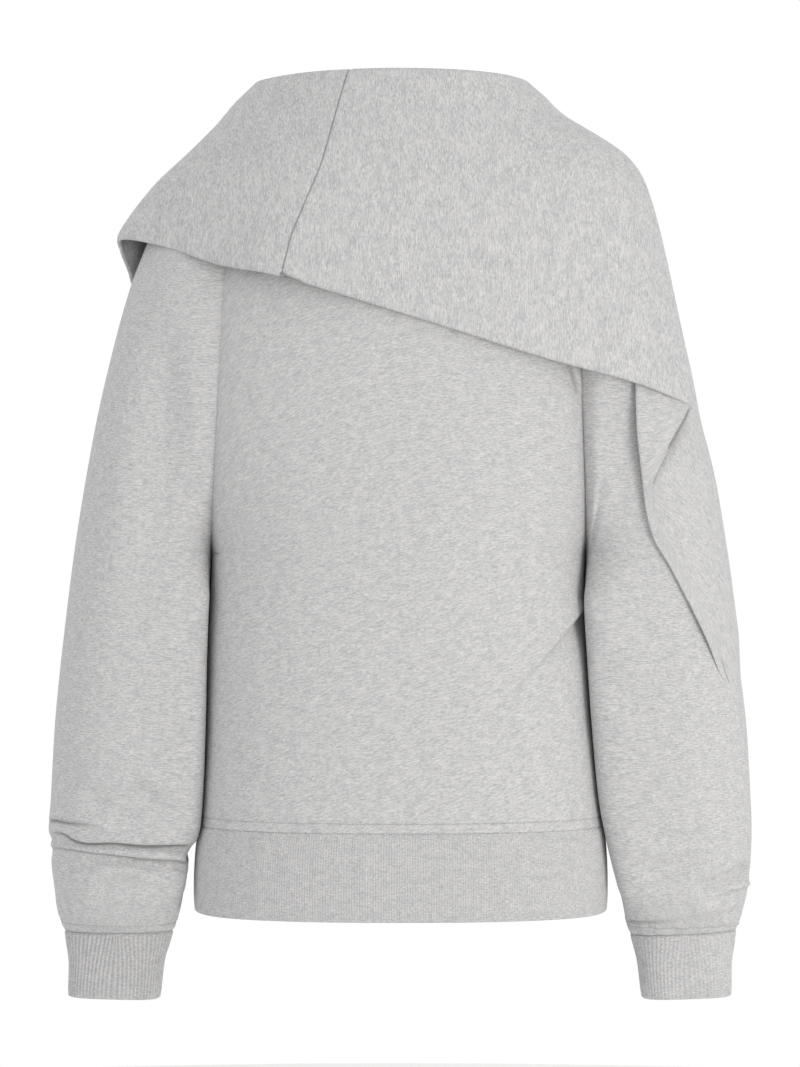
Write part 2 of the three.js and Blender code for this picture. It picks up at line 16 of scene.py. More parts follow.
import bpy
import numpy as np
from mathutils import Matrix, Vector

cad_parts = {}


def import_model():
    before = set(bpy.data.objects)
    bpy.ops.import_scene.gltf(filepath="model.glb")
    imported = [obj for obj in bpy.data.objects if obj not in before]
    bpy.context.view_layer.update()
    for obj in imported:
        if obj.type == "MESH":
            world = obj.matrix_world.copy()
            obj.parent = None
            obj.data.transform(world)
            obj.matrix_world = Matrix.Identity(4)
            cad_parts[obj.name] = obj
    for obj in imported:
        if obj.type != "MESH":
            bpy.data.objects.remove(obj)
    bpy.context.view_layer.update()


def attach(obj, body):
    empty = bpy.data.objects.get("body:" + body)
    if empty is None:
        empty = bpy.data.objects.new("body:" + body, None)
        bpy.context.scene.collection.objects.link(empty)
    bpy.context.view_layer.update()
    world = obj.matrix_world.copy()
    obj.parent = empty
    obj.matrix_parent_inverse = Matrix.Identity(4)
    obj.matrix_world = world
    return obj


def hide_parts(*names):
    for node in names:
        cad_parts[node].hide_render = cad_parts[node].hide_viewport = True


log = logging.getLogger("sweatshirt")

Array = np.ndarray
Point = tuple[float, float]
Colour = tuple[float, float, float, float]

MM = 0.001
WEAVE_MAP = "cloth"
# Point attribute of painted shade, from 0 to 1: dark lines in seam grooves, under tucks and the flap, and in
# rib grooves
PAINTED_SHADE_MASK = "seam"
RIB_PHASE = "rib_phase"
RIB_RAISE = "rib_raise"

# Camera
CAMERA_DISTANCE = 3300.0
CAMERA_Z = -322.0
VIEW_HEIGHT = 896.3
FILM = 36.0

# Cloth
CLOTH = 2.0
SEAM_EDGE = 0.7
SEAM_EDGE_REACH = 3.0
DOUBLED = 3.4
ARMHOLE_DIP_LEFT = 0.9
ARMHOLE_DIP_RIGHT = 2.4
ARMHOLE_DIP_WIDTH = 9.0
SEAM_DIP_WIDTH = 2.2
CLEAR_OF_SIDE = 30.0
TOPSTITCH_FROM_SEAM = 7.5
ARMHOLE_SQUARE = 2.2
ARMHOLE_LAP = 0.3
BODY_SQUARE = 2.35
HEM_SEAM_Z = -565.3
THREAD_LIFT = 0.1
RIM_BULGE = 0.45

# Rib knit: its thickness, and how far it is drawn in at its seam and just below it
RIB_THICKNESS = 2.2
RIB_TUCKED = (1.2, 1.1, 0.4, 0.0)

# The flat cloth that shows of each piece: width, length and area, in metres
CUFF_CUT = (0.212, 0.066, 0.0138)
HEM_CUT = (0.94, 0.0768, 0.072)


class Side(Enum):
    """A side of the garment, seen from behind."""

    LEFT = -1
    RIGHT = 1


class Face(Enum):
    """The wearer's back or front."""

    BACK = -1
    FRONT = 1


class Fold(Enum):
    """How the cloth bends along a crease."""

    SOFT = "a trough, or a ridge where its depth is negative"
    TUCK = "the cloth on the left of the path rolls over the cloth on its right"


class Table:
    """A short table with named columns, and the smooth curves through them."""

    def __init__(self, columns: str, rows: Sequence[Sequence[float]]) -> None:
        """Keeps the rows.

        Args:
            columns: The columns' names, with spaces between them.
            rows: One row of numbers for each section.
        """
        self.names = columns.split()
        self.rows = np.array(rows, dtype=float)

    def column(self, name: str) -> Array:
        """One column's numbers."""
        return self.rows[:, self.names.index(name)]

    def along(self, name: str, at: Array, against: str | None = None) -> Array:
        """Values of a smooth curve through a column.

        Args:
            name: The column.
            at: Where, in row numbers or in the other column's values.
            against: The column that is the curve's other axis, or None for row numbers.

        Returns:
            One value for each place.
        """
        y = self.column(name)
        x = np.arange(len(y), dtype=float) if against is None else self.column(against)
        if x[-1] < x[0]:
            x, at = -x, -at
        last = len(y) - 1
        before = np.maximum(np.arange(len(y)) - 1, 0)
        after = np.minimum(np.arange(len(y)) + 1, last)
        slope = (y[after] - y[before]) / (x[after] - x[before])
        i = np.clip(np.searchsorted(x, at, side="right") - 1, 0, last - 1)
        width = x[i + 1] - x[i]
        t = np.clip((at - x[i]) / width, 0, 1)
        rise = t * t * (3 - 2 * t)
        bow = t * (1 - t) * width
        return y[i] + (y[i + 1] - y[i]) * rise + bow * ((1 - t) * slope[i] - t * slope[i + 1])

    def around(self, name: str, at: Array) -> Array:
        """Values of a smooth closed curve through a column, once round its rows.

        Args:
            name: The column.
            at: Row numbers.

        Returns:
            One value for each place.
        """
        y = self.column(name)
        i = np.floor(at).astype(int)
        t = at - i
        a, b, c, d = (y[(i + step) % len(y)] for step in (-1, 0, 1, 2))
        return b + 0.5 * t * (c - a + t * (2 * a - 5 * b + 4 * c - d + t * (3 * (b - c) + d - a)))


# The body's half widths and half depths, from the hem seam up.
BODY = Table(
    "z left right back front",
    [
        (-565.3, 167.6, 170.6, 115, 115),
        (-545, 166.2, 167.6, 117, 117),
        (-500, 163.9, 162.8, 117, 118),
        (-450, 162.5, 158.8, 118, 119),
        (-400, 161.3, 155.6, 120, 121),
        (-356, 158.4, 154.8, 122, 123),
        (-338, 157.7, 155.3, 122.5, 124),
        (-322, 158, 156, 123, 125),
        (-290, 158, 156, 124.5, 126.5),
        (-235, 158, 156, 126, 128),
        (-170, 158, 156, 126, 127),
        (-110, 158, 156, 121, 120),
    ],
)

RING = "inner_x inner_z outer_x outer_z middle_y back front"

# Sleeve rings from the armhole to the cuff seam. X is measured outwards from the body's middle.
LEFT_SLEEVE = Table(
    RING,
    [
        (158, -338, 138, -8, 0, 82, 82),
        (157.9, -341, 160, -15, 0, 84, 82),
        (158, -345, 183, -30, 0, 84, 82),
        (158.2, -349, 202, -55, 0, 82, 81),
        (158.4, -353, 214, -84, 0, 80, 80),
        (158.7, -357, 226.8, -118, 0, 78, 78),
        (159.2, -362, 240.5, -168, 0, 76, 76),
        (159.9, -370, 256, -236, 0, 74, 74),
        (161.1, -388, 270.5, -319, 1, 72, 72),
        (162.4, -424, 281.5, -402, 3, 70, 70),
        (164, -492, 289.5, -476, 6, 68, 68),
        (166.6, -548, 293.8, -546, 9, 67, 66),
        (169.8, -573, 295.6, -570, 10, 65, 65),
        (176.5, -583, 293.2, -578.5, 11, 61, 60),
        (180.4, -590.5, 294, -583.5, 11, 63, 62),
        (179, -598.5, 292.6, -588.5, 12, 59.5, 59),
        (180, -607, 293.4, -600, 12, 61, 60),
        (182.6, -622, 290.8, -621, 12, 57, 57),
        (185.4, -639, 288.8, -638, 13, 50, 50),
        (189.4, -652, 284.6, -651, 13, 40, 40),
        (191.4, -655.6, 282.4, -655.6, 14, 35.5, 35.5),
    ],
)
RIGHT_SLEEVE = Table(
    RING,
    [
        (155.6, -338, 140, -8, 0, 82, 82),
        (155.6, -341, 160, -10, 0, 88, 82),
        (155.4, -345, 183, -20, 0, 90, 82),
        (155.2, -349, 201, -40, 0, 86, 82),
        (155.1, -353, 210.5, -68, 0, 84, 81),
        (155, -357, 218.5, -103, 0, 81.5, 80),
        (155, -362, 229, -150, 0, 77, 78),
        (155.1, -371, 246, -228, 0, 73.5, 75),
        (155.4, -390, 265.8, -318, 1, 73, 73),
        (157.8, -428, 279.6, -400, 3, 69, 69),
        (161.3, -478, 290.2, -474, 6, 68, 67),
        (166.8, -538, 294.6, -540, 9, 67, 67),
        (172.4, -570, 295.8, -571, 10, 66, 65),
        (178.6, -596, 295, -597, 11, 62, 62),
        (184.8, -619, 292.6, -621, 12, 58, 58),
        (188.4, -636, 288.6, -639, 13, 51, 51),
        (190.8, -650, 285.8, -649, 13, 42, 42),
        (194.2, -658.6, 283.2, -654.6, 14, 35.5, 35.5),
    ],
)
LEFT_CUFF = Table(
    RING,
    [
        (191.4, -655.6, 282.4, -655.6, 14, 35.5, 35.5),
        (195, -668, 280.6, -668, 14, 32.6, 32.6),
        (199.4, -683, 278.4, -683, 14, 30, 30),
        (202.6, -712, 279, -710, 14, 29, 29),
    ],
)
RIGHT_CUFF = Table(
    RING,
    [
        (194.2, -658.6, 283.2, -654.6, 14, 35.5, 35.5),
        (197.2, -670, 281.6, -668, 14, 32.6, 32.6),
        (200.6, -684, 279.2, -682, 14, 30, 30),
        (204, -712, 278.8, -709.5, 14, 29, 29),
    ],
)

# The hem band swells between its seam and its lower edge.
HEM_BAND = Table(
    "z left right back front",
    [
        (-565.3, 167.8, 170.8, 115.2, 115.2),
        (-577, 170.6, 172.6, 116.6, 116.6),
        (-602, 172.8, 174.2, 117.4, 117.4),
        (-626, 173.2, 174.4, 116.6, 116.6),
        (-637, 172.4, 173.6, 115.4, 115.4),
    ],
)

# The collar's stations: the roll along its top, where it turns down, and its lower folded edge.
COLLAR = Table(
    "roll_x roll_y roll_z turn_x turn_y turn_z edge_x edge_y edge_z",
    [
        (-40, -78, 59, -64, -112, -20, -96, -128.5, -113),
        (0, -82, 59.5, 0, -118, -35, 0, -131, -142),
        (45, -76, 59, 62, -114, -48, 84, -126, -168),
        (80, -57, 58, 124, -97, -36, 150, -106, -186),
        (97, -34, 57, 174, -67, -26, 197, -93, -198.5),
        (104, -14, 56.5, 199, -31, -26, 240, -54, -214),
        (105, 3, 56, 203.5, 3, -25, 249, 3, -217),
        (101, 28, 55, 193, 48, -28, 233, 62, -212),
        (68, 62, 51, 116, 100, -48, 140, 113, -198),
        (-6, 79, 45, -4, 122, -52, 0, 137, -174),
        (-78, 63, 51, -120, 98, -38, -146, 108, -143),
        (-110, 32, 55, -178, 50, -14, -218, 54, -119),
        (-117, 8, 56, -194, 13, -19, -231, 22, -99),
        (-118, -7, 55, -195.5, -8, -18, -234.5, -8, -76),
        (-112, -31, 56, -170, -50, -8, -205, -52, -81),
        (-80, -61, 58, -118, -94, -18, -146, -98, -102),
    ],
)

# The drape's level sections, downwards. The rear edge and the crease are where they are seen.
DRAPE = Table(
    "z middle_x outer_x middle_y depth rear_x crease_x",
    [
        (-186, 150, 243.6, 0, 95, 195, 240),
        (-212.6, 166, 248.8, 0, 92, 193.5, 239.5),
        (-232, 178, 253.8, 0, 90, 194, 230),
        (-251, 188, 258.6, 0, 87, 195.5, 219.5),
        (-267, 196, 262.4, 0, 85, 197.5, 211.5),
        (-283, 203, 265.8, 0, 82.5, 199.5, 206),
        (-307, 209, 270, 1, 81.5, 203, 210),
        (-328, 212, 273.4, 1, 79.5, 209.5, 217),
        (-348, 214.5, 276.6, 2, 78.5, 222, 229),
        (-378, 217, 280.6, 2, 76.5, 238.5, 245),
        (-410, 219.5, 285, 3, 75, 254.5, 260),
        (-439, 222, 289.6, 4, 74.5, 269, 273),
        (-452, 223, 291.4, 5, 74.5, 276, 279),
    ],
)

# How far the flap's folded edge stands over the cloth beside it, downwards.
FLAP = Table(
    "z lift",
    [
        (-186, -1.5),
        (-206, 0.4),
        (-213, 2.8),
        (-222, 4.4),
        (-236, 5.2),
        (-251, 5),
        (-265, 4),
        (-278, 2),
        (-289, 0.5),
        (-298, 0),
        (-452, 0),
    ],
)

# What the collar's outline gains outwards on each side, downwards, as seen.
COLLAR_OUTLINE = Table(
    "z left right",
    [
        (60, 0, 0),
        (46, 0, -2),
        (38, -0.6, -5),
        (30, -2.4, -6.8),
        (20, -4.2, -3.6),
        (8, -4.4, 1),
        (-2, -4.2, 3.4),
        (-12, -3, 2.4),
        (-26, 0, 0),
        (-42, 0.8, -1.6),
        (-60, 2, -2.6),
        (-72, 3, -3.2),
        (-84, 0, -3.6),
        (-120, 0, -4.2),
        (-160, 0, -3.2),
        (-185, 0, -1.2),
        (-205, 0, 0),
        (-230, 0, 0),
    ],
)


def oval(angle: Array, square: float | Array) -> tuple[Array, Array]:
    """The two coordinates, from -1 to 1, of a squared-off oval.

    Args:
        angle: Radians from the sideways direction, towards the front.
        square: 2 for an ellipse, more for a boxier oval.

    Returns:
        The sideways and the front-to-back coordinates.
    """
    c, s = np.cos(angle), np.sin(angle)
    return np.sign(c) * np.abs(c) ** (2 / square), np.sign(s) * np.abs(s) ** (2 / square)


def smooth_step(low: float, high: float, value: Array) -> Array:
    """0 below low, 1 above high and a smooth rise between them."""
    t = np.clip((value - low) / (high - low), 0, 1)
    return t * t * (3 - 2 * t)


def spline(points: Sequence[Point], count: int) -> Array:
    """A smooth line through a few points.

    Args:
        points: The points.
        count: How many points to return.

    Returns:
        The line's points, one row each.
    """
    table = Table("x z", points)
    at = np.linspace(0, len(points) - 1, count)
    return np.stack([table.along("x", at), table.along("z", at)], axis=1)


@dataclass(frozen=True)
class Crease:
    """A soft trough, ridge or tuck of the cloth.

    The path is where the crease is seen, from behind or in front.
    """

    path: tuple[Point, ...]
    depth: float
    width: float
    fold: Fold = Fold.SOFT
    face: Face = Face.BACK
    fade_in: float = 0.3
    fade_out: float = 0.3
    # How dark the shadow painted under a tuck's roll is
    dark: float = 0.5

    PATH_POINTS = 18
    REACH = 4
    SHORTEST_FADE = 1e-3
    ROLL_SHARPNESS = 1.1
    ROLL_START = 0.5
    ROLL_BASE = 0.35
    # Where the painted shadow line lies under the roll, and how wide it is
    DARK_PLACE = 1.9
    DARK_WIDTH = 1.3
    SHOULDER = 0.3

    def height(self, across: Array, up: Array) -> tuple[Array, Array]:
        """How far the crease moves each point out.

        Args:
            across: The points' places across, as seen.
            up: The points' places upwards, as seen.

        Returns:
            The heights, and the shadow painted under a tuck at each point, from 0 to 1.
        """
        line = spline(self.path, self.PATH_POINTS)
        reach = self.REACH * self.width
        low, high = line.min(0) - reach, line.max(0) + reach
        near = (across > low[0]) & (across < high[0]) & (up > low[1]) & (up < high[1])
        x, z = across[near], up[near]
        best = np.full(x.shape, np.inf)
        signed = np.zeros(x.shape)
        place = np.zeros(x.shape)
        for n, (start, end) in enumerate(zip(line[:-1], line[1:])):
            step = end - start
            t = np.clip(((x - start[0]) * step[0] + (z - start[1]) * step[1]) / (step @ step), 0, 1)
            off_x, off_z = x - start[0] - t * step[0], z - start[1] - t * step[1]
            distance = np.hypot(off_x, off_z)
            closer = distance < best
            best[closer] = distance[closer]
            signed[closer] = (np.sign(step[0] * off_z - step[1] * off_x) * distance)[closer]
            place[closer] = (n + t[closer]) / (len(line) - 1)
        strength = smooth_step(0, max(self.fade_in, self.SHORTEST_FADE), place)
        strength = strength * smooth_step(0, max(self.fade_out, self.SHORTEST_FADE), 1 - place)
        bell = np.exp(-((best / self.width) ** 2))
        if self.fold is Fold.TUCK:
            roll = np.tanh((signed + self.ROLL_START) / self.ROLL_SHARPNESS)
            shape = 0.5 * (roll - self.ROLL_BASE) * bell
            # Painted shadow: a dark line just right of the path, under the cloth that rolls over
            dark = np.exp(-(((signed + self.DARK_PLACE) / self.DARK_WIDTH) ** 2))
        else:
            shoulders = np.exp(-(((best - 2 * self.width) / self.width) ** 2))
            shape = -bell + self.SHOULDER * shoulders
            dark = np.zeros(x.shape)
        heights = np.zeros(across.shape)
        darkness = np.zeros(across.shape)
        heights[near] = self.depth * shape * strength
        darkness[near] = self.dark * dark * strength
        return heights, darkness


@dataclass(frozen=True)
class SewnEdge:
    """How cloth lies beside a topstitched seam: its puckers, and its dip under the stitches, with shade
    painted in the dip.
    """

    pucker: float
    pucker_length: float
    drift: float
    drift_length: float
    pucker_reach: float
    dip: float
    dip_width: float
    # How dark the shade painted in the dip is
    dark: float


HEM_EDGE = SewnEdge(
    pucker=0.35, pucker_length=2.9, drift=2.0, drift_length=23.0,
    pucker_reach=6.0, dip=0.5, dip_width=1.4, dark=0.12,
)
CUFF_EDGE = SewnEdge(
    pucker=0.5, pucker_length=2.4, drift=1.5, drift_length=17.0,
    pucker_reach=7.0, dip=0.7, dip_width=1.5, dark=0.14,
)


def as_seen(points: Array, face: Face) -> tuple[Array, Array]:
    """Where points are seen, in the plane of the shoulders.

    Args:
        points: The points.
        face: Whether they are seen from behind or in front.

    Returns:
        Their places across and upwards.
    """
    nearer = CAMERA_DISTANCE / (CAMERA_DISTANCE - face.value * points[:, 1])
    return points[:, 0] * nearer, CAMERA_Z + (points[:, 2] - CAMERA_Z) * nearer


def lengths(grid: Array, axis: int) -> Array:
    """Distances along a grid's rows or columns, from the first point of each.

    Args:
        grid: Rows of points.
        axis: 1 to measure along the rows, 0 along the columns.

    Returns:
        One distance for each point.
    """
    steps = np.linalg.norm(np.diff(grid, axis=axis), axis=2)
    start = np.zeros_like(np.take(steps, [0], axis=axis))
    return np.concatenate([start, np.cumsum(steps, axis=axis)], axis=axis)


def flat_places(grid: Array, middle: int) -> Array:
    """Where each grid point lies in the flat cloth.

    Args:
        grid: Rows of points.
        middle: The column from which each row is measured.

    Returns:
        Two coordinates for each point, across and along.
    """
    across = lengths(grid, 1)
    across = across - across[:, middle : middle + 1]
    return np.stack([across, lengths(grid, 0)], axis=2)


def corner_faces(ids: Array) -> Array:
    """The faces between the points of a grid of point numbers."""
    corners = [ids[:-1, :-1], ids[:-1, 1:], ids[1:, 1:], ids[1:, :-1]]
    return np.stack(corners, axis=2).reshape(-1, 4)


def corner_places(places: Array) -> Array:
    """The flat places of the corners of each face of a grid."""
    corners = [places[:-1, :-1], places[:-1, 1:], places[1:, 1:], places[1:, :-1]]
    return np.stack(corners, axis=2).reshape(-1, 4, 2)


@dataclass
class Cloth:
    """One piece of cloth: its outside points, its faces, what each needs to be made solid, and the shade
    painted on it.
    """

    points: Array
    faces: Array
    places: Array
    thickness: Array
    # Painted shade at each point, from 0 to 1: seam grooves, shadow under tucks, pleat shade
    seam: Array

    @classmethod
    def of_grid(
        cls, grid: Array, closed: bool, turned: bool, middle: int, flat: Array | None = None
    ) -> Cloth:
        """Makes cloth of one grid of outside points.

        Args:
            grid: Rows of points.
            closed: Whether the last column meets the first.
            turned: Whether the outside is on the other side of the grid.
            middle: The column from which the flat cloth is measured.
            flat: The flat places, with the first column repeated where closed, or None to measure them.

        Returns:
            The cloth.
        """
        rows, columns = grid.shape[:2]
        ids = np.arange(rows * columns).reshape(rows, columns)
        shown = grid
        if closed:
            ids = np.concatenate([ids, ids[:, :1]], axis=1)
            shown = np.concatenate([grid, grid[:, :1]], axis=1)
        flat = flat_places(shown, middle) if flat is None else flat
        faces, places = corner_faces(ids), corner_places(flat)
        if turned:
            faces, places = faces[:, ::-1], places[:, ::-1]
        count = rows * columns
        return cls(grid.reshape(-1, 3).copy(), faces, places, np.full(count, CLOTH), np.zeros(count))

    def normals(self) -> Array:
        """The cloth's outward directions.

        Returns:
            A unit vector for each point.
        """
        a, b, c, d = (self.points[self.faces[:, k]] for k in range(4))
        square = np.cross(c - a, d - b)
        total = np.zeros_like(self.points)
        for k in range(4):
            for axis in range(3):
                total[:, axis] += np.bincount(self.faces[:, k], square[:, axis], len(self.points))
        return total / np.maximum(np.linalg.norm(total, axis=1, keepdims=True), 1e-9)

    def move_out(self, by: Array) -> None:
        """Moves each point out by its own distance."""
        self.points = self.points + self.normals() * by[:, None]

    def crease(self, creases: Sequence[Crease], beyond: float = 40.0) -> None:
        """Bends the cloth along its creases, and paints the shadow lines under their tucks.

        Args:
            creases: The creases.
            beyond: How far past the body's middle plane a crease of one face still reaches.
        """
        normals = self.normals()
        heights = np.zeros(len(self.points))
        for crease in creases:
            facing = smooth_step(0.02, 0.3, crease.face.value * normals[:, 1])
            facing = facing * (crease.face.value * self.points[:, 1] > -beyond)
            height, dark = crease.height(*as_seen(self.points, crease.face))
            heights += height * facing
            # The tucks' painted shadow lines go into the painted shade
            self.seam = np.maximum(self.seam, dark * facing)
        self.points = self.points + normals * heights[:, None]

    def dip(self, distance: Array, depth: float, width: float, dark: float) -> None:
        """Draws the cloth in along a line, such as a seam, and paints shade into the groove.

        Args:
            distance: Each point's distance from the line.
            depth: How far in the line lies.
            width: The distance at which the dip has faded to a third.
            dark: How dark the painted shade in the groove is, from 0 to 1.
        """
        bell = np.exp(-((distance / width) ** 2))
        self.move_out(-depth * bell)
        # Painted shade along the groove's floor
        self.seam = np.maximum(self.seam, dark * np.exp(-((distance / (0.5 * width)) ** 2)))

    def sink(self, distance: Array, depth: float, width: float, dark: float) -> None:
        """Draws the cloth straight in, towards the garment's middle plane, along an armhole, and paints
        shade along it.

        Args:
            distance: Each point's distance from the armhole.
            depth: How far in the armhole lies.
            width: The distance at which the dip has faded to a third.
            dark: How dark the painted shade along the armhole is, from 0 to 1.
        """
        bell = np.exp(-((distance / width) ** 2))
        behind = np.clip(self.points[:, 1] / CLEAR_OF_SIDE, -1, 1)
        self.points[:, 1] -= depth * bell * behind
        # Painted shade in the armhole's valley, behind and in front
        line = np.exp(-((distance / (0.5 * SEAM_DIP_WIDTH)) ** 2))
        self.seam = np.maximum(self.seam, dark * line * np.abs(behind))

    def sew_edge(self, from_seam: Array, along: Array, edge: SewnEdge) -> None:
        """Thins the cloth at a seam, and puckers and dips it along the topstitch, painting shade into the
        dip.

        Args:
            from_seam: Each point's distance from the seam.
            along: Each point's place along the seam.
            edge: How the cloth lies there.
        """
        self.thickness -= (CLOTH - SEAM_EDGE) * np.exp(-((from_seam / SEAM_EDGE_REACH) ** 2))
        from_stitch = from_seam - TOPSTITCH_FROM_SEAM
        drift = edge.drift * np.sin(along / edge.drift_length)
        puckers = edge.pucker * np.sin(along / edge.pucker_length + drift)
        self.move_out(puckers * np.exp(-((from_stitch / edge.pucker_reach) ** 2)))
        self.dip(from_stitch, edge.dip, edge.dip_width, edge.dark)

    def stitch_line(self, from_seam: Array, columns: int) -> Array:
        """The line of the topstitch, just over the cloth.

        Args:
            from_seam: Each row's distance from the seam.
            columns: The number of points in a row.

        Returns:
            The line's points.
        """
        row = int(np.argmin(np.abs(from_seam - TOPSTITCH_FROM_SEAM)))
        line = slice(row * columns, (row + 1) * columns)
        return self.points[line] + THREAD_LIFT * self.normals()[line]

    def piece(self, name: str) -> bpy.types.Object:
        """Makes the solid piece, with a rounded rim on every free edge.

        Args:
            name: The piece's name.

        Returns:
            The new object.
        """
        count = len(self.points)
        normals = self.normals()
        inside = self.points - normals * self.thickness[:, None]
        starts = self.faces.reshape(-1)
        ends = np.roll(self.faces, -1, axis=1).reshape(-1)
        from_places = self.places.reshape(-1, 2)
        to_places = np.roll(self.places, -1, axis=1).reshape(-1, 2)
        free = ~np.isin(starts * count + ends, ends * count + starts)
        starts, ends = starts[free], ends[free]
        from_places, to_places = from_places[free], to_places[free]
        outwards = np.zeros_like(self.points)
        away = np.cross(self.points[ends] - self.points[starts], normals[starts])
        for axis in range(3):
            outwards[:, axis] += np.bincount(starts, away[:, axis], count)
            outwards[:, axis] += np.bincount(ends, away[:, axis], count)
        size = np.linalg.norm(outwards, axis=1, keepdims=True)
        outwards = outwards / np.maximum(size, 1e-9)
        rim = np.unique(starts)
        rim_id = np.full(count, -1)
        rim_id[rim] = 2 * count + np.arange(len(rim))
        bulge = RIM_BULGE * self.thickness[rim, None]
        rim_points = (self.points[rim] + inside[rim]) / 2 + outwards[rim] * bulge
        outer_rim = np.stack([ends, starts, rim_id[starts], rim_id[ends]], axis=1)
        inner_rim = np.stack([rim_id[ends], rim_id[starts], starts + count, ends + count], axis=1)
        rim_places = np.stack([to_places, from_places, from_places, to_places], axis=1)
        points = np.concatenate([self.points, inside, rim_points])
        faces = np.concatenate([self.faces, self.faces[:, ::-1] + count, outer_rim, inner_rim])
        places = np.concatenate([self.places, self.places[:, ::-1], rim_places, rim_places])
        # The painted shade goes on the outside and the rim, none inside
        seam = np.concatenate([self.seam, np.zeros(count), self.seam[rim]])
        return new_piece(name, points, faces, places, {PAINTED_SHADE_MASK: seam})


def new_piece(
    name: str, points: Array, faces: Array, places: Array | None, attributes: dict[str, Array]
) -> bpy.types.Object:
    """Makes an object of points in millimetres.

    Args:
        name: The object's name.
        points: Its points.
        faces: The point numbers of each face.
        places: The flat places of each face's corners, or None.
        attributes: Numbers for each point, by name.

    Returns:
        The new object, in metres.
    """
    mesh = bpy.data.meshes.new(name)
    mesh.from_pydata((points * MM).tolist(), [], faces.tolist())
    if places is not None:
        layer = mesh.uv_layers.new(name=WEAVE_MAP)
        layer.data.foreach_set("uv", (places * MM).reshape(-1).astype(np.float32))
    for key, values in attributes.items():
        attribute = mesh.attributes.new(key, "FLOAT", "POINT")
        attribute.data.foreach_set("value", values.astype(np.float32))
    mesh.polygons.foreach_set("use_smooth", np.ones(len(faces), dtype=bool))
    mesh.update()
    piece = bpy.data.objects.new(name, mesh)
    bpy.context.scene.collection.objects.link(piece)
    return piece


class Term:
    """A socket of a node tree that can be used in Python expressions."""

    def __init__(self, tree: Tree, socket: bpy.types.NodeSocket) -> None:
        """Wraps a socket of a tree."""
        self.tree = tree
        self.socket = socket

    def math(self, operation: str, *others: Term | float) -> Term:
        """A Math node on this term and others."""
        inputs = dict(enumerate((self, *others)))
        return self.tree.node("ShaderNodeMath", {"operation": operation}, inputs)

    def __add__(self, other: Term | float) -> Term:
        """The sum."""
        return self.math("ADD", other)

    __radd__ = __add__

    def __mul__(self, other: Term | float) -> Term:
        """The product."""
        return self.math("MULTIPLY", other)

    __rmul__ = __mul__

    def __sub__(self, other: Term | float) -> Term:
        """The difference."""
        return self.math("SUBTRACT", other)

    def __rsub__(self, other: Term | float) -> Term:
        """A number less this term."""
        return self.math("MULTIPLY_ADD", -1.0, other)

    def __truediv__(self, other: Term | float) -> Term:
        """The quotient."""
        return self.math("DIVIDE", other)

    def __pow__(self, other: Term | float) -> Term:
        """The power."""
        return self.math("POWER", other)

    def wave(self) -> Term:
        """A sine of this term, one wave to each whole number."""
        return (self * (2 * math.pi)).math("SINE")

    def between(self, low: float, high: float) -> Term:
        """0 below low, 1 above high and a smooth rise between them."""
        settings = {"interpolation_type": "SMOOTHSTEP"}
        return self.tree.node("ShaderNodeMapRange", settings, {0: self, 1: low, 2: high, 3: 0.0, 4: 1.0})


class Tree:
    """A node tree that is built from Python expressions."""

    def __init__(self, tree: bpy.types.NodeTree) -> None:
        """Wraps a node tree."""
        self.tree = tree

    def node(
        self,
        kind: str,
        settings: dict[str, Any] | None = None,
        inputs: dict[int | str, Any] | None = None,
        output: int | str = 0,
    ) -> Term:
        """Adds a node.

        Args:
            kind: The node's type.
            settings: Its properties, set first. "stops" are a colour ramp's positions and colours.
            inputs: Values or terms for its sockets, by name or number.
            output: The socket that the returned term stands for.

        Returns:
            A term on one of its outputs.
        """
        node = self.tree.nodes.new(kind)
        for key, value in (settings or {}).items():
            if key == "stops":
                elements = node.color_ramp.elements
                while len(elements) < len(value):
                    elements.new(0.5)
                for element, (position, colour) in zip(elements, value):
                    element.position = position
                    element.color = (*colour, 1.0)
            else:
                setattr(node, key, value)
        for key, value in (inputs or {}).items():
            if isinstance(value, Term):
                self.tree.links.new(value.socket, node.inputs[key])
            else:
                node.inputs[key].default_value = value
        return Term(self, node.outputs[output])

    def mix(self, share: Term | float, first: Any, second: Any) -> Term:
        """A mix of two colours.

        Args:
            share: How much of the second colour there is.
            first: A colour or a term.
            second: A colour or a term.

        Returns:
            The mixed colour.
        """
        return self.node("ShaderNodeMix", {"data_type": "RGBA"}, {0: share, 6: first, 7: second}, 2)

    def noise(self, places: Term, scale: float, detail: float = 2.0, roughness: float = 0.5) -> Term:
        """Noise from 0 to 1.

        Args:
            places: Where the noise is taken.
            scale: How small its spots are.
            detail: How many finer layers it has.
            roughness: How strong the finer layers are.

        Returns:
            The noise.
        """
        return self.node(
            "ShaderNodeTexNoise",
            {"noise_dimensions": "3D"},
            {"Vector": places, "Scale": scale, "Detail": detail, "Roughness": roughness},
        )


def grey(level: float) -> Colour:
    """A grey."""
    return (level, level, level, 1.0)


def new_material(name: str) -> tuple[bpy.types.Material, bpy.types.Node, Tree]:
    """Makes a plain material.

    Args:
        name: Its name.

    Returns:
        The material, its shader and its node tree.
    """
    material = bpy.data.materials.new(name)
    material.use_nodes = True
    return material, material.node_tree.nodes["Principled BSDF"], Tree(material.node_tree)


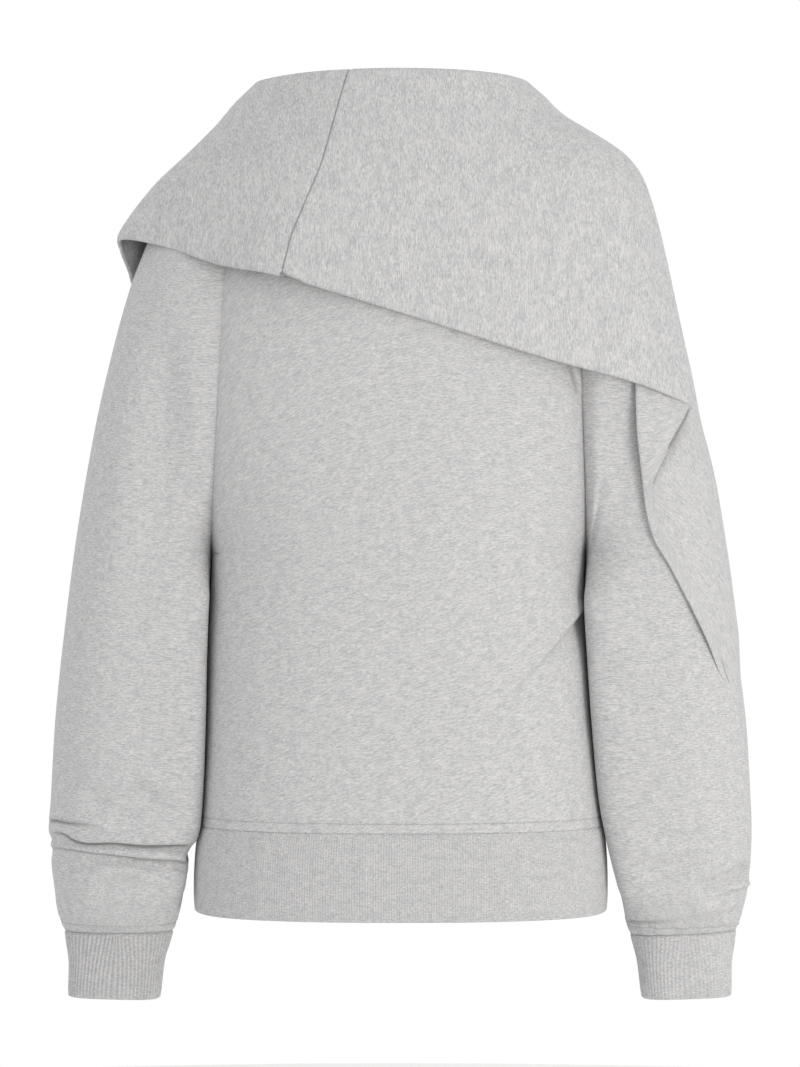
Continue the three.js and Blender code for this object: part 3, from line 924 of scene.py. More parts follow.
@dataclass(frozen=True)
class Heather:
    """Grey marl knit: light and dark fibres spun together, which show as short streaks along the yarn.

    Lengths are in metres. The grain is the angle of the yarn to the piece's first flat direction. In
    hanging cloth the streaks run straight down instead, whatever way the piece turns.
    """

    name: str
    grain: float = 0.0
    hanging: bool = False
    warm: Colour = (0.728, 0.723, 0.712, 1.0)
    cool: Colour = (0.465, 0.463, 0.478, 1.0)
    cream: Colour = (0.86, 0.84, 0.79, 1.0)
    slate: Colour = (0.30, 0.305, 0.33, 1.0)
    streak_length: float = 0.0072
    streak_width: float = 0.00098
    stitch_width: float = 0.00125
    stitch_height: float = 0.00095
    bump: float = 0.35
    roughness: float = 0.92
    sheen: float = 0.12
    sheen_roughness: float = 0.6
    specular: float = 0.15
    bump_depth: float = 0.0004
    knit_share: float = 0.7
    waver: float = 0.0016
    waver_scale: float = 45.0
    short_streak: float = 0.4
    blotch: Point = (0.013, 0.006)
    cream_fleck: Point = (0.0034, 0.00095)
    slate_fleck: Point = (0.0034, 0.0009)
    # The dark grey painted as shade in grooves, creases and seams
    painted_shade_colour: Colour = (0.1326, 0.13, 0.1274, 1.0)

    def material(self) -> bpy.types.Material:
        """Builds the material.

        Returns:
            The new material.
        """
        material, shader, tree = new_material(self.name)
        flat = tree.node("ShaderNodeUVMap", {"uv_map": WEAVE_MAP})
        turn = {"Vector": flat, "Rotation": (0.0, 0.0, math.radians(self.grain))}
        places = tree.node("ShaderNodeMapping", {"vector_type": "POINT"}, turn)
        knit = self.knit(tree, places)
        if self.hanging:
            places = tree.node("ShaderNodeTexCoord", {}, {}, "Object")
        slow = {"Vector": places, "Scale": self.waver_scale, "Detail": 1.0}
        waver = tree.node("ShaderNodeTexNoise", {}, slow, 1)
        shift = {0: waver, 1: (self.waver, self.waver, self.waver), 2: places}
        places = tree.node("ShaderNodeVectorMath", {"operation": "MULTIPLY_ADD"}, shift)
        colour, marl = self.colour(tree, places)
        height = knit * self.knit_share + marl * (1.0 - self.knit_share)
        bump = {"Strength": self.bump, "Distance": self.bump_depth, "Height": height}
        normal = tree.node("ShaderNodeBump", {}, bump)
        tree.tree.links.new(colour.socket, shader.inputs["Base Color"])
        tree.tree.links.new(normal.socket, shader.inputs["Normal"])
        shader.inputs["Roughness"].default_value = self.roughness
        shader.inputs["Sheen Weight"].default_value = self.sheen
        shader.inputs["Sheen Roughness"].default_value = self.sheen_roughness
        shader.inputs["Specular IOR Level"].default_value = self.specular
        return material

    def colour(self, tree: Tree, places: Term) -> tuple[Term, Term]:
        """The marl's colour, with painted shade mixed in from the shade mask.

        Args:
            tree: The material's tree.
            places: Flat places, turned to the yarn.

        Returns:
            The colour and the streaks, from 0 to 1.
        """
        length, width = self.streak_length, self.streak_width
        long_spots = self.spots(tree, places, length, width, 0.0)
        long_streaks = tree.noise(long_spots, 1.0, detail=3.0, roughness=0.65)
        short_spots = self.spots(tree, places, self.short_streak * length, width, 31.0)
        short_streaks = tree.noise(short_spots, 1.0, detail=2.0, roughness=0.6)
        blotches = tree.noise(self.spots(tree, places, *self.blotch, 57.0), 1.0, detail=2.0)
        marl = long_streaks * 0.5 + short_streaks * 0.34 + blotches * 0.16
        share = marl.between(0.36, 0.64)
        colour = tree.mix(share, self.cool, self.warm)
        cream_flecks = tree.noise(self.spots(tree, places, *self.cream_fleck, 11.0), 1.0, detail=1.0)
        colour = tree.mix(cream_flecks.between(0.6, 0.72) * 0.55, colour, self.cream)
        slate_flecks = tree.noise(self.spots(tree, places, *self.slate_fleck, 83.0), 1.0, detail=1.0)
        colour = tree.mix(slate_flecks.between(0.6, 0.74) * 0.5, colour, self.slate)
        # Painted shade: where the mask is set, the marl is darkened towards the dark grey
        seam = tree.node("ShaderNodeAttribute", {"attribute_name": PAINTED_SHADE_MASK}, {}, "Fac")
        return tree.mix(seam * 0.9, colour, self.painted_shade_colour), marl

    def spots(self, tree: Tree, places: Term, length: float, width: float, shift: float) -> Term:
        """Places divided by a spot's size each way, so that noise of scale 1 has such spots.

        Args:
            tree: The material's tree.
            places: Places on the cloth.
            length: The spot's length along the yarn.
            width: Its width.
            shift: How far the pattern is moved, so that no two are alike.

        Returns:
            The divided places.
        """
        if self.hanging:
            sizes = (1 / width, 1 / (3 * width), 1 / length)
        else:
            sizes = (1 / length, 1 / width, 1.0)
        inputs = {0: places, 1: sizes, 2: (shift, shift, 0.0)}
        return tree.node("ShaderNodeVectorMath", {"operation": "MULTIPLY_ADD"}, inputs)

    def knit(self, tree: Tree, places: Term) -> Term:
        """The height of the knit's stitches: columns of small V shapes.

        Args:
            tree: The material's tree.
            places: Flat places, turned to the yarn.

        Returns:
            The height, from 0 to 1.
        """
        split = tree.node("ShaderNodeSeparateXYZ", {}, {0: places})
        up = Term(tree, split.socket.node.outputs[1])
        wale = split / self.stitch_width
        column = wale.math("PINGPONG", 0.5) * 2.0
        course = (up / self.stitch_height + column * 0.45).wave() * 0.5 + 0.5
        return course * (1.0 - column * 0.6)


@dataclass(frozen=True)
class Thread:
    """Spun polyester sewing thread."""

    name: str = "grey_thread"
    level: float = 0.44

    def material(self) -> bpy.types.Material:
        """Builds the material: a thread with a fine twist.

        Returns:
            The new material.
        """
        material, shader, tree = new_material(self.name)
        places = tree.node("ShaderNodeTexCoord", {}, {}, "Object")
        noise = {"Vector": places, "Scale": 900.0, "Detail": 2.0}
        twist = tree.node("ShaderNodeTexNoise", {}, noise)
        colour = tree.mix(twist, grey(self.level * 0.75), grey(self.level * 1.2))
        normal = tree.node("ShaderNodeBump", {}, {"Strength": 0.4, "Distance": 0.0001, "Height": twist})
        tree.tree.links.new(colour.socket, shader.inputs["Base Color"])
        tree.tree.links.new(normal.socket, shader.inputs["Normal"])
        shader.inputs["Roughness"].default_value = 0.6
        return material


class GrownNodes:
    """A Geometry Nodes tree with named inputs, which is applied to an object once."""

    def __init__(self, name: str, inputs: dict[str, float]) -> None:
        """Makes an empty tree.

        Args:
            name: The tree's name.
            inputs: Its number inputs, by name, with their values.
        """
        self.group = bpy.data.node_groups.new(name, "GeometryNodeTree")
        self.tree = Tree(self.group)
        interface = self.group.interface
        interface.new_socket("Geometry", in_out="INPUT", socket_type="NodeSocketGeometry")
        interface.new_socket("Geometry", in_out="OUTPUT", socket_type="NodeSocketGeometry")
        self.values = inputs
        for key in inputs:
            interface.new_socket(key, in_out="INPUT", socket_type="NodeSocketFloat")
        interface.new_socket("Finish", in_out="INPUT", socket_type="NodeSocketMaterial")
        self.source = self.group.nodes.new("NodeGroupInput")
        self.sink = self.group.nodes.new("NodeGroupOutput")

    def input(self, name: str) -> Term:
        """A named input of the tree."""
        return Term(self.tree, self.source.outputs[name])

    def end(self, geometry: Term) -> None:
        """Ends the tree with real geometry, smooth and in its finish.

        Args:
            geometry: What the tree has made.
        """
        real = self.tree.node("GeometryNodeRealizeInstances", {}, {"Geometry": geometry})
        smooth = self.tree.node("GeometryNodeSetShadeSmooth", {}, {"Geometry": real})
        dressed = {"Geometry": smooth, "Material": self.input("Finish")}
        done = self.tree.node("GeometryNodeSetMaterial", {}, dressed)
        self.group.links.new(done.socket, self.sink.inputs["Geometry"])

    def apply(self, piece: bpy.types.Object, finish: bpy.types.Material) -> bpy.types.Object:
        """Runs the tree on an object and keeps the result as its mesh.

        Args:
            piece: The object.
            finish: The material of the result.

        Returns:
            The same object.
        """
        modifier = piece.modifiers.new(self.group.name, "NODES")
        modifier.node_group = self.group
        for item in self.group.interface.items_tree:
            if item.item_type == "SOCKET" and item.in_out == "INPUT":
                if item.name in self.values:
                    modifier[item.identifier] = float(self.values[item.name])
                elif item.name == "Finish":
                    modifier[item.identifier] = finish
        depsgraph = bpy.context.evaluated_depsgraph_get()
        mesh = bpy.data.meshes.new_from_object(piece.evaluated_get(depsgraph))
        piece.modifiers.remove(modifier)
        old, piece.data = piece.data, mesh
        bpy.data.meshes.remove(old)
        mesh.name = piece.name
        return piece


def rib_nodes(height: float) -> GrownNodes:
    """Nodes that raise ribs on a tube, from each point's place among the ribs.

    Args:
        height: The ribs' height, in metres.

    Returns:
        The nodes.
    """
    nodes = GrownNodes("rib_knit", {"Rib height": height})
    tree = nodes.tree
    named = {"data_type": "FLOAT"}
    phase = tree.node("GeometryNodeInputNamedAttribute", named, {"Name": RIB_PHASE})
    raised = tree.node("GeometryNodeInputNamedAttribute", named, {"Name": RIB_RAISE})
    crown = ((phase.wave() * 0.5 + 0.5) ** 0.7) * raised * nodes.input("Rib height")
    normal = tree.node("GeometryNodeInputNormal")
    offset = tree.node("ShaderNodeVectorMath", {"operation": "SCALE"}, {0: normal, "Scale": crown})
    base = nodes.input("Geometry")
    nodes.end(tree.node("GeometryNodeSetPosition", {}, {"Geometry": base, "Offset": offset}))
    return nodes


def stitch_nodes(pitch: float, stitch: float, radius: float) -> GrownNodes:
    """Nodes that lay stitches along a line of edges.

    Args:
        pitch: From one stitch to the next, in metres.
        stitch: A stitch's length, in metres.
        radius: The thread's radius, in metres.

    Returns:
        The nodes.
    """
    values = {"Pitch": pitch, "Stitch length": stitch, "Thread radius": radius}
    nodes = GrownNodes("topstitch", values)
    tree = nodes.tree
    line = tree.node("GeometryNodeMeshToCurve", {}, {"Mesh": nodes.input("Geometry")})
    spaced = {"Curve": line, "Length": nodes.input("Pitch")}
    settings = {"mode": "LENGTH"}
    points = tree.node("GeometryNodeResampleCurve", settings, spaced)
    ball = tree.node("GeometryNodeMeshUVSphere", {}, {"Segments": 6, "Rings": 4, "Radius": 1.0})
    tangent = tree.node("GeometryNodeInputTangent")
    aim = tree.node("FunctionNodeAlignRotationToVector", {"axis": "Z"}, {"Vector": tangent})
    thread = nodes.input("Thread radius")
    half = nodes.input("Stitch length") * 0.5
    scale = tree.node("ShaderNodeCombineXYZ", {}, {0: thread, 1: thread, 2: half})
    placed = {"Points": points, "Instance": ball, "Rotation": aim, "Scale": scale}
    nodes.end(tree.node("GeometryNodeInstanceOnPoints", {}, placed))
    return nodes


@dataclass(frozen=True)
class Finishes:
    """The garment's materials."""

    back: bpy.types.Material
    front: bpy.types.Material
    sleeve: bpy.types.Material
    collar: bpy.types.Material
    drape: bpy.types.Material
    rib: bpy.types.Material
    thread: bpy.types.Material

    @classmethod
    def make(cls) -> Finishes:
        """Builds the materials.

        Returns:
            The garment's materials.
        """
        return cls(
            back=Heather("heather_jersey_back", grain=-14.0).material(),
            front=Heather("heather_jersey_front", grain=8.0).material(),
            sleeve=Heather("heather_jersey_sleeve", grain=-2.0).material(),
            collar=Heather("heather_jersey_collar", hanging=True, streak_width=0.00082).material(),
            drape=Heather("heather_jersey_drape").material(),
            rib=Heather(
                "heather_rib",
                streak_length=0.0036,
                streak_width=0.0011,
                bump=0.2,
            ).material(),
            thread=Thread().material(),
        )


def declare(
    piece: bpy.types.Object,
    material: bpy.types.Material,
    nodes: Sequence[str],
) -> None:
    """Dresses a finished piece, hangs it on the root body and hides the frame's nodes that it stands for.

    Args:
        piece: The piece.
        material: Its material.
        nodes: The frame's nodes that it stands for.
    """
    if piece.data.materials:
        piece.data.materials[0] = material
    else:
        piece.data.materials.append(material)
    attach(piece, "root")
    if nodes:
        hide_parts(*nodes)
    triangles = sum(len(face.vertices) - 2 for face in piece.data.polygons)
    log.info("%s: %d triangles, material %s", piece.name, triangles, material.name)


@dataclass
class Topstitch:
    """A row of stitches along a line on the cloth."""

    name: str
    line: Array
    pitch: float = 3.3
    stitch: float = 2.7
    radius: float = 0.28

    def build(self, finishes: Finishes) -> bpy.types.Object:
        """Lays the stitches.

        Args:
            finishes: The garment's materials.

        Returns:
            The piece.
        """
        mesh = bpy.data.meshes.new(self.name)
        edges = [(i, i + 1) for i in range(len(self.line) - 1)]
        mesh.from_pydata((self.line * MM).tolist(), edges, [])
        piece = bpy.data.objects.new(self.name, mesh)
        bpy.context.scene.collection.objects.link(piece)
        nodes = stitch_nodes(self.pitch * MM, self.stitch * MM, self.radius * MM)
        nodes.apply(piece, finishes.thread)
        declare(piece, finishes.thread, ())
        return piece


@dataclass
class Body:
    """The back and front panels, from the hem seam to the shoulders."""

    hem_seam_z: float = HEM_SEAM_Z
    armpit_z: float = -338.0
    shoulder_z: float = -8.0
    yoke_z: float = -110.0
    armhole_depth: float = 82.0
    neck_half_width: float = 100.0
    neck_side_z: float = 6.0
    neck_back: Point = (84.0, -15.0)
    neck_front: Point = (77.0, -50.0)
    seam_half_gap: float = 0.1

    # Distances of the closest rows from the hem seam, and how far past the topstitch the even rows start
    SEAM_ROWS = (0, 0.8, 1.8, 3.2, 5, 6.3, 7.5, 8.7, 10, 12)
    PAST_STITCH = 7
    # Rows below the armpit, rows above it, rows over the shoulder, and columns
    BACK_GRID = (78, 104, 20, 216)
    FRONT_GRID = (52, 68, 14, 140)

    BACK_CREASES = (
        # The long drag fold from the right armhole down to the middle, with a painted shadow line under it
        Crease(
            ((15, -518), (50, -495), (82, -466), (113, -435), (134, -412), (146, -397), (158, -382)),
            depth=6.5, width=12, fold=Fold.TUCK, fade_in=0.9, fade_out=0.02, dark=0.35,
        ),
        Crease(
            ((150, -362), (128, -386), (98, -418), (62, -452), (30, -474)),
            depth=-1.8, width=15, fade_in=0.2, fade_out=0.6,
        ),
        # The small fold at the back of the right armhole, under the collar's edge, with a painted shadow
        # line
        Crease(
            ((143, -176), (147, -186), (150, -197), (152, -208)),
            depth=3.5, width=5, fold=Fold.TUCK, fade_in=0.05, dark=0.5,
        ),
        Crease(((-152, -505), (-128, -528), (-98, -541)), depth=1.4, width=10),
        Crease(((-40, -545), (20, -552), (80, -549)), depth=0.9, width=8),
        Crease(((-140, -250), (-120, -330), (-118, -400)), depth=0.9, width=20),
        Crease(((60, -250), (30, -330), (34, -420)), depth=-0.9, width=30),
        Crease(((150, -470), (140, -505), (143, -545)), depth=1.2, width=9),
    )
    FRONT_CREASES = (
        Crease(
            ((152, -352), (126, -392), (84, -436), (38, -474)),
            depth=3.2, width=10, face=Face.FRONT, fade_out=0.6,
        ),
        Crease(
            ((-152, -350), (-118, -398), (-78, -430), (-52, -446)),
            depth=2.4, width=9, face=Face.FRONT, fade_out=0.6,
        ),
        Crease(((-134, -205), (-112, -262), (-104, -330)), 1.8, 13, face=Face.FRONT),
        Crease(((128, -232), (104, -290), (98, -350)), 1.6, 12, face=Face.FRONT),
        Crease(((-148, -512), (-108, -532), (-60, -538)), 1.6, 10, face=Face.FRONT),
        Crease(((20, -528), (78, -540), (140, -530)), 1.4, 9, face=Face.FRONT),
        Crease(((-20, -300), (-10, -380), (-24, -460)), -1.2, 26, face=Face.FRONT),
    )

    def armhole_half(self, z: Array) -> Array:
        """Half of the armhole's width, front to back.

        Args:
            z: Heights.

        Returns:
            One half width for each height.
        """
        middle = (self.armpit_z + self.shoulder_z) / 2
        share = np.clip(np.abs(z - middle) / ((self.shoulder_z - self.armpit_z) / 2), 0, 1)
        return self.armhole_depth * (1 - share**ARMHOLE_SQUARE) ** (1 / ARMHOLE_SQUARE)

    def armhole_reach(self, rings: Table, z: Array) -> Array:
        """How far out an armhole's plane is.

        Args:
            rings: The sleeve's rings on that side.
            z: Heights.

        Returns:
            One distance from the body's middle for each height.
        """
        inner_z, outer_z = rings.column("inner_z")[0], rings.column("outer_z")[0]
        inner_x, outer_x = rings.column("inner_x")[0], rings.column("outer_x")[0]
        return inner_x + (outer_x - inner_x) * (z - inner_z) / (outer_z - inner_z) - ARMHOLE_LAP

    def heights(self, below: int, above: int) -> Array:
        """Heights of the level rows, closer together where the armhole starts.

        Args:
            below: Rows below the armpit.
            above: Rows above it.

        Returns:
            The heights, with the topstitch's own among them.
        """
        stitch_z = self.hem_seam_z + TOPSTITCH_FROM_SEAM
        fine = np.array(self.SEAM_ROWS) + self.hem_seam_z
        lower = np.linspace(stitch_z + self.PAST_STITCH, self.armpit_z, below)
        middle, half = (self.armpit_z + self.shoulder_z) / 2, (self.shoulder_z - self.armpit_z) / 2
        top = math.acos(-(((self.yoke_z - middle) / half) ** (ARMHOLE_SQUARE / 2)))
        turn = np.linspace(0, top, above + 1)[1:]
        upper = middle - half * np.sign(np.cos(turn)) * np.abs(np.cos(turn)) ** (2 / ARMHOLE_SQUARE)
        upper[-1] = self.yoke_z
        return np.concatenate([fine, lower, upper])

    def grid(self, face: Face, below: int, above: int, yoke: int, columns: int) -> Array:
        """The panel's outside points.

        Args:
            face: Back or front.
            below: Rows below the armpit.
            above: Rows from there to the yoke.
            yoke: Rows that close over the shoulder.
            columns: Columns from side to side.

        Returns:
            Rows of points, from the hem seam up.
        """
        z = self.heights(below, above)
        depth = BODY.along("back" if face is Face.BACK else "front", z, "z")
        low = z <= self.armpit_z
        edge = np.where(low, self.seam_half_gap, np.maximum(self.armhole_half(z), self.seam_half_gap))
        spread = (1 - (edge / depth) ** BODY_SQUARE) ** (1 / BODY_SQUARE)
        left = np.where(low, BODY.along("left", z, "z"), self.armhole_reach(LEFT_SLEEVE, z)) / spread
        right = np.where(low, BODY.along("right", z, "z"), self.armhole_reach(RIGHT_SLEEVE, z)) / spread
        edge_angle = np.arcsin((edge / depth) ** (BODY_SQUARE / 2))[:, None]
        share = np.linspace(0, 1, columns)[None, :]
        angle = math.pi - edge_angle + (2 * edge_angle - math.pi) * share
        along, across = oval(face.value * angle, BODY_SQUARE)
        x = along * np.where(along < 0, left[:, None], right[:, None])
        y = across * depth[:, None]
        level = np.stack([x, y, np.broadcast_to(z[:, None], x.shape)], axis=2)
        return np.concatenate([level, self.yoke_rows(face, level[-1], yoke)])

    def yoke_rows(self, face: Face, start: Array, count: int) -> Array:
        """The rows that close over the shoulders, up to the shoulder seams and the neckline.

        Args:
            face: Back or front.
            start: The last level row.
            count: How many rows follow it.

        Returns:
            The rows.
        """
        neck_depth, neck_z = self.neck_back if face is Face.BACK else self.neck_front
        x = start[:, 0]
        share = np.abs(x) / self.neck_half_width
        dip = np.sqrt(np.clip(1 - share**2, 0, 1))
        in_neck = share < 1
        reach = np.where(x < 0, LEFT_SLEEVE.column("outer_x")[0], RIGHT_SLEEVE.column("outer_x")[0])
        wide = np.where(
            x < 0,
            self.armhole_reach(LEFT_SLEEVE, np.array(self.yoke_z)),
            self.armhole_reach(RIGHT_SLEEVE, np.array(self.yoke_z)),
        )
        out = (np.abs(x) - self.neck_half_width) / (wide - self.neck_half_width)
        shoulder_x = np.sign(x) * (self.neck_half_width + (reach - self.neck_half_width) * out)
        shoulder_z = self.neck_side_z + (self.shoulder_z - self.neck_side_z) * out
        neckline_y = np.maximum(neck_depth * dip, self.seam_half_gap)
        top = np.stack(
            [
                np.where(in_neck, x, shoulder_x),
                face.value * np.where(in_neck, neckline_y, self.seam_half_gap),
                np.where(in_neck, self.neck_side_z + (neck_z - self.neck_side_z) * dip**2, shoulder_z),
            ],
            axis=1,
        )
        middle, half = (self.armpit_z + self.shoulder_z) / 2, (self.shoulder_z - self.armpit_z) / 2
        start_depth = float(self.armhole_half(np.array(self.yoke_z)))
        first = math.asin((start_depth / self.armhole_depth) ** (ARMHOLE_SQUARE / 2))
        turn = (1 - np.arange(1, count + 1) / count) * first
        z = middle + half * np.cos(turn) ** (2 / ARMHOLE_SQUARE)
        rise = ((z - self.yoke_z) / (self.shoulder_z - self.yoke_z))[:, None]
        close = (1 - self.armhole_depth * np.sin(turn) ** (2 / ARMHOLE_SQUARE) / start_depth)[:, None]
        moves = top - start
        shares = np.stack([rise, close, rise], axis=2)
        return start[None] + moves[None] * shares

    def panel(self, face: Face, finishes: Finishes) -> tuple[bpy.types.Object, Array]:
        """Builds one panel.

        Args:
            face: Back or front.
            finishes: The garment's materials.

        Returns:
            The piece, and the line of its topstitch.
        """
        back = face is Face.BACK
        grid = self.grid(face, *(self.BACK_GRID if back else self.FRONT_GRID))
        columns = grid.shape[1]
        cloth = Cloth.of_grid(grid, False, not back, columns // 2)
        cloth.crease(self.BACK_CREASES if back else self.FRONT_CREASES)
        across, up = lengths(grid, 1), lengths(grid, 0)
        from_right = across[:, -1:] - across
        # Painted shade along the right armhole, where the sleeve overhangs the body; none on the left
        cloth.sink(across.reshape(-1), ARMHOLE_DIP_LEFT, ARMHOLE_DIP_WIDTH, dark=0.0)
        cloth.sink(from_right.reshape(-1), ARMHOLE_DIP_RIGHT, ARMHOLE_DIP_WIDTH, dark=0.3)
        cloth.sew_edge(up.reshape(-1), across.reshape(-1), HEM_EDGE)
        stitch_line = cloth.stitch_line(up[:, columns // 2], columns)
        name = "back_panel" if back else "front_panel"
        piece = cloth.piece(f"{name}_cloth")
        material = finishes.back if back else finishes.front
        declare(piece, material, (name,))
        return piece, stitch_line

    def build(self, finishes: Finishes) -> None:
        """Builds both panels and the topstitch above the hem.

        Args:
            finishes: The garment's materials.
        """
        for face in Face:
            line = self.panel(face, finishes)[1]
            Topstitch(f"hem_topstitch_{face.name.lower()}", line).build(finishes)


@dataclass
class Sleeve:
    """A full sleeve, from the armhole to the cuff seam."""

    side: Side
    rings: Table
    creases: tuple[Crease, ...]
    fine_rows: Point
    columns: int = 168
    coarse_step: float = 4.0
    middle_step: float = 2.4
    fine_step: float = 1.1
    pressed_z: tuple[float, float, float, float] = (-330.0, -376.0, -615.0, -650.0)
    pressed_square: float = 3.2
    flat_width: float = 58.0
    flat_depth: float = 76.0
    least_half_width: float = 20.0
    hug: float = 6.5
    corner_share: float = 0.774
    front_pressed: float = 0.5
    inner_share: float = 0.4
    samples: int = 4000
    points_per_column: int = 6

    def places(self) -> Array:
        """The rows' places, closest together where the cloth is pushed up.

        Returns:
            A ring number for each row.
        """
        at = np.linspace(0, len(self.rings.rows) - 1, self.samples)
        inner = np.stack([self.rings.along("inner_x", at), self.rings.along("inner_z", at)])
        outer = np.stack([self.rings.along("outer_x", at), self.rings.along("outer_z", at)])
        inner_steps = np.linalg.norm(np.diff(inner), axis=0)
        outer_steps = np.linalg.norm(np.diff(outer), axis=0)
        moved = inner_steps * self.inner_share + outer_steps * (1 - self.inner_share)
        first, last = self.fine_rows
        step = np.where(at[1:] < first, self.coarse_step, self.fine_step)
        step = np.where(at[1:] > last, self.middle_step, step)
        count = np.concatenate([[0], np.cumsum(moved / step)])
        wanted = np.linspace(0, count[-1], int(count[-1]) + 1)
        return np.interp(wanted, count, at)

    def pressed(self, z: Array) -> Array:
        """How much the sleeve is pressed against the body at each height, from 0 to 1."""
        start, full, fade, end = self.pressed_z
        return smooth_step(-start, -full, -z) * (1 - smooth_step(-fade, -end, -z))

    def grid(self) -> Array:
        """The sleeve's outside points, with the underarm seam as the first column.

        Returns:
            Rows of points, from the armhole down.
        """
        at = self.places()[:, None]
        angle = np.linspace(math.pi, 3 * math.pi, self.points_per_column * self.columns + 1)[None, :]
        inner = np.cos(angle) < 0
        behind = np.sin(angle) < 0
        value = {name: self.rings.along(name, at) for name in RING.split()}
        rough = (1 + oval(angle, ARMHOLE_SQUARE)[0]) / 2
        rough_z = value["inner_z"] + (value["outer_z"] - value["inner_z"]) * rough
        side = np.where(inner, np.where(behind, 1.0, self.front_pressed), 0.0)
        pressed = self.pressed(rough_z) * side
        along, across = oval(angle, ARMHOLE_SQUARE + self.pressed_square * pressed)
        share = (1 + along) / 2
        x = value["inner_x"] + (value["outer_x"] - value["inner_x"]) * share
        corner = np.abs(along * across) / self.corner_share
        x = x - self.hug * pressed * behind * corner**3
        x = x - 2 * ARMHOLE_LAP * np.exp(-at)
        z = value["inner_z"] + (value["outer_z"] - value["inner_z"]) * share
        y = value["middle_y"] + across * np.where(across < 0, value["back"], value["front"])
        fine = np.stack([self.side.value * x, y, z], axis=2)
        arc = lengths(fine, 1)
        even = np.linspace(0, 1, self.columns, endpoint=False)
        rows = []
        for line, length in zip(fine, arc):
            rows.append([np.interp(even * length[-1], length, line[:, axis]) for axis in range(3)])
        return np.moveaxis(np.array(rows), 1, 2)

    def flat(self, grid: Array) -> Array:
        """The flat places of the sleeve's points, in cloth whose courses are level.

        Args:
            grid: The sleeve's points.

        Returns:
            Two coordinates for each point, round and upwards, with the first column repeated.
        """
        shown = np.concatenate([grid, grid[:, :1]], axis=1)
        x, y, z = self.side.value * shown[..., 0], shown[..., 1], shown[..., 2]
        inner = np.interp(-z, -self.rings.column("inner_z"), self.rings.column("inner_x"))
        outer = np.interp(-z, -self.rings.column("outer_z"), self.rings.column("outer_x"))
        half = np.maximum((outer - inner) / 2, self.least_half_width)
        turn = np.mod(np.arctan2(y / self.flat_depth, (x - (outer + inner) / 2) / half), 2 * math.pi)
        rear = np.arange(shown.shape[1]) <= self.columns // 2
        turn = turn + 2 * math.pi * (turn < np.where(rear, math.pi / 2, 3 * math.pi / 2))
        angles = np.linspace(0, 4 * math.pi, 721)
        ring = np.stack([self.flat_width * np.cos(angles), self.flat_depth * np.sin(angles)], axis=1)
        return np.stack([np.interp(turn, angles, lengths(ring[None], 1)[0]), z], axis=2)

    def build(self, finishes: Finishes) -> None:
        """Builds the sleeve and the topstitch above its cuff.

        Args:
            finishes: The garment's materials.
        """
        grid = self.grid()
        cloth = Cloth.of_grid(grid, True, self.side is Side.RIGHT, 0, self.flat(grid))
        cloth.crease(self.creases)
        down = lengths(grid, 0)
        around = lengths(np.concatenate([grid, grid[:, :1]], axis=1), 1)
        underarm = np.minimum(around, around[:, -1:] - around)[:, :-1].reshape(-1)
        left = self.side is Side.LEFT
        # Painted shade along the right armhole and, faintly, in the underarm seam's groove
        depth, dark = (ARMHOLE_DIP_LEFT, 0.0) if left else (ARMHOLE_DIP_RIGHT, 0.3)
        cloth.sink(down.reshape(-1), depth, ARMHOLE_DIP_WIDTH, dark)
        cloth.dip(underarm, depth=0.3, width=1.8, dark=0.1)
        from_cuff = down[-1:] - down
        cloth.sew_edge(from_cuff.reshape(-1), around[:, :-1].reshape(-1), CUFF_EDGE)
        name = f"sleeve_{self.side.name.lower()}"
        stitch_line = cloth.stitch_line(from_cuff[:, 0], self.columns)
        piece = cloth.piece(f"{name}_cloth")
        declare(piece, finishes.sleeve, (name,))
        closed_line = np.concatenate([stitch_line, stitch_line[:1]])
        Topstitch(f"cuff_topstitch_{self.side.name.lower()}", closed_line).build(finishes)


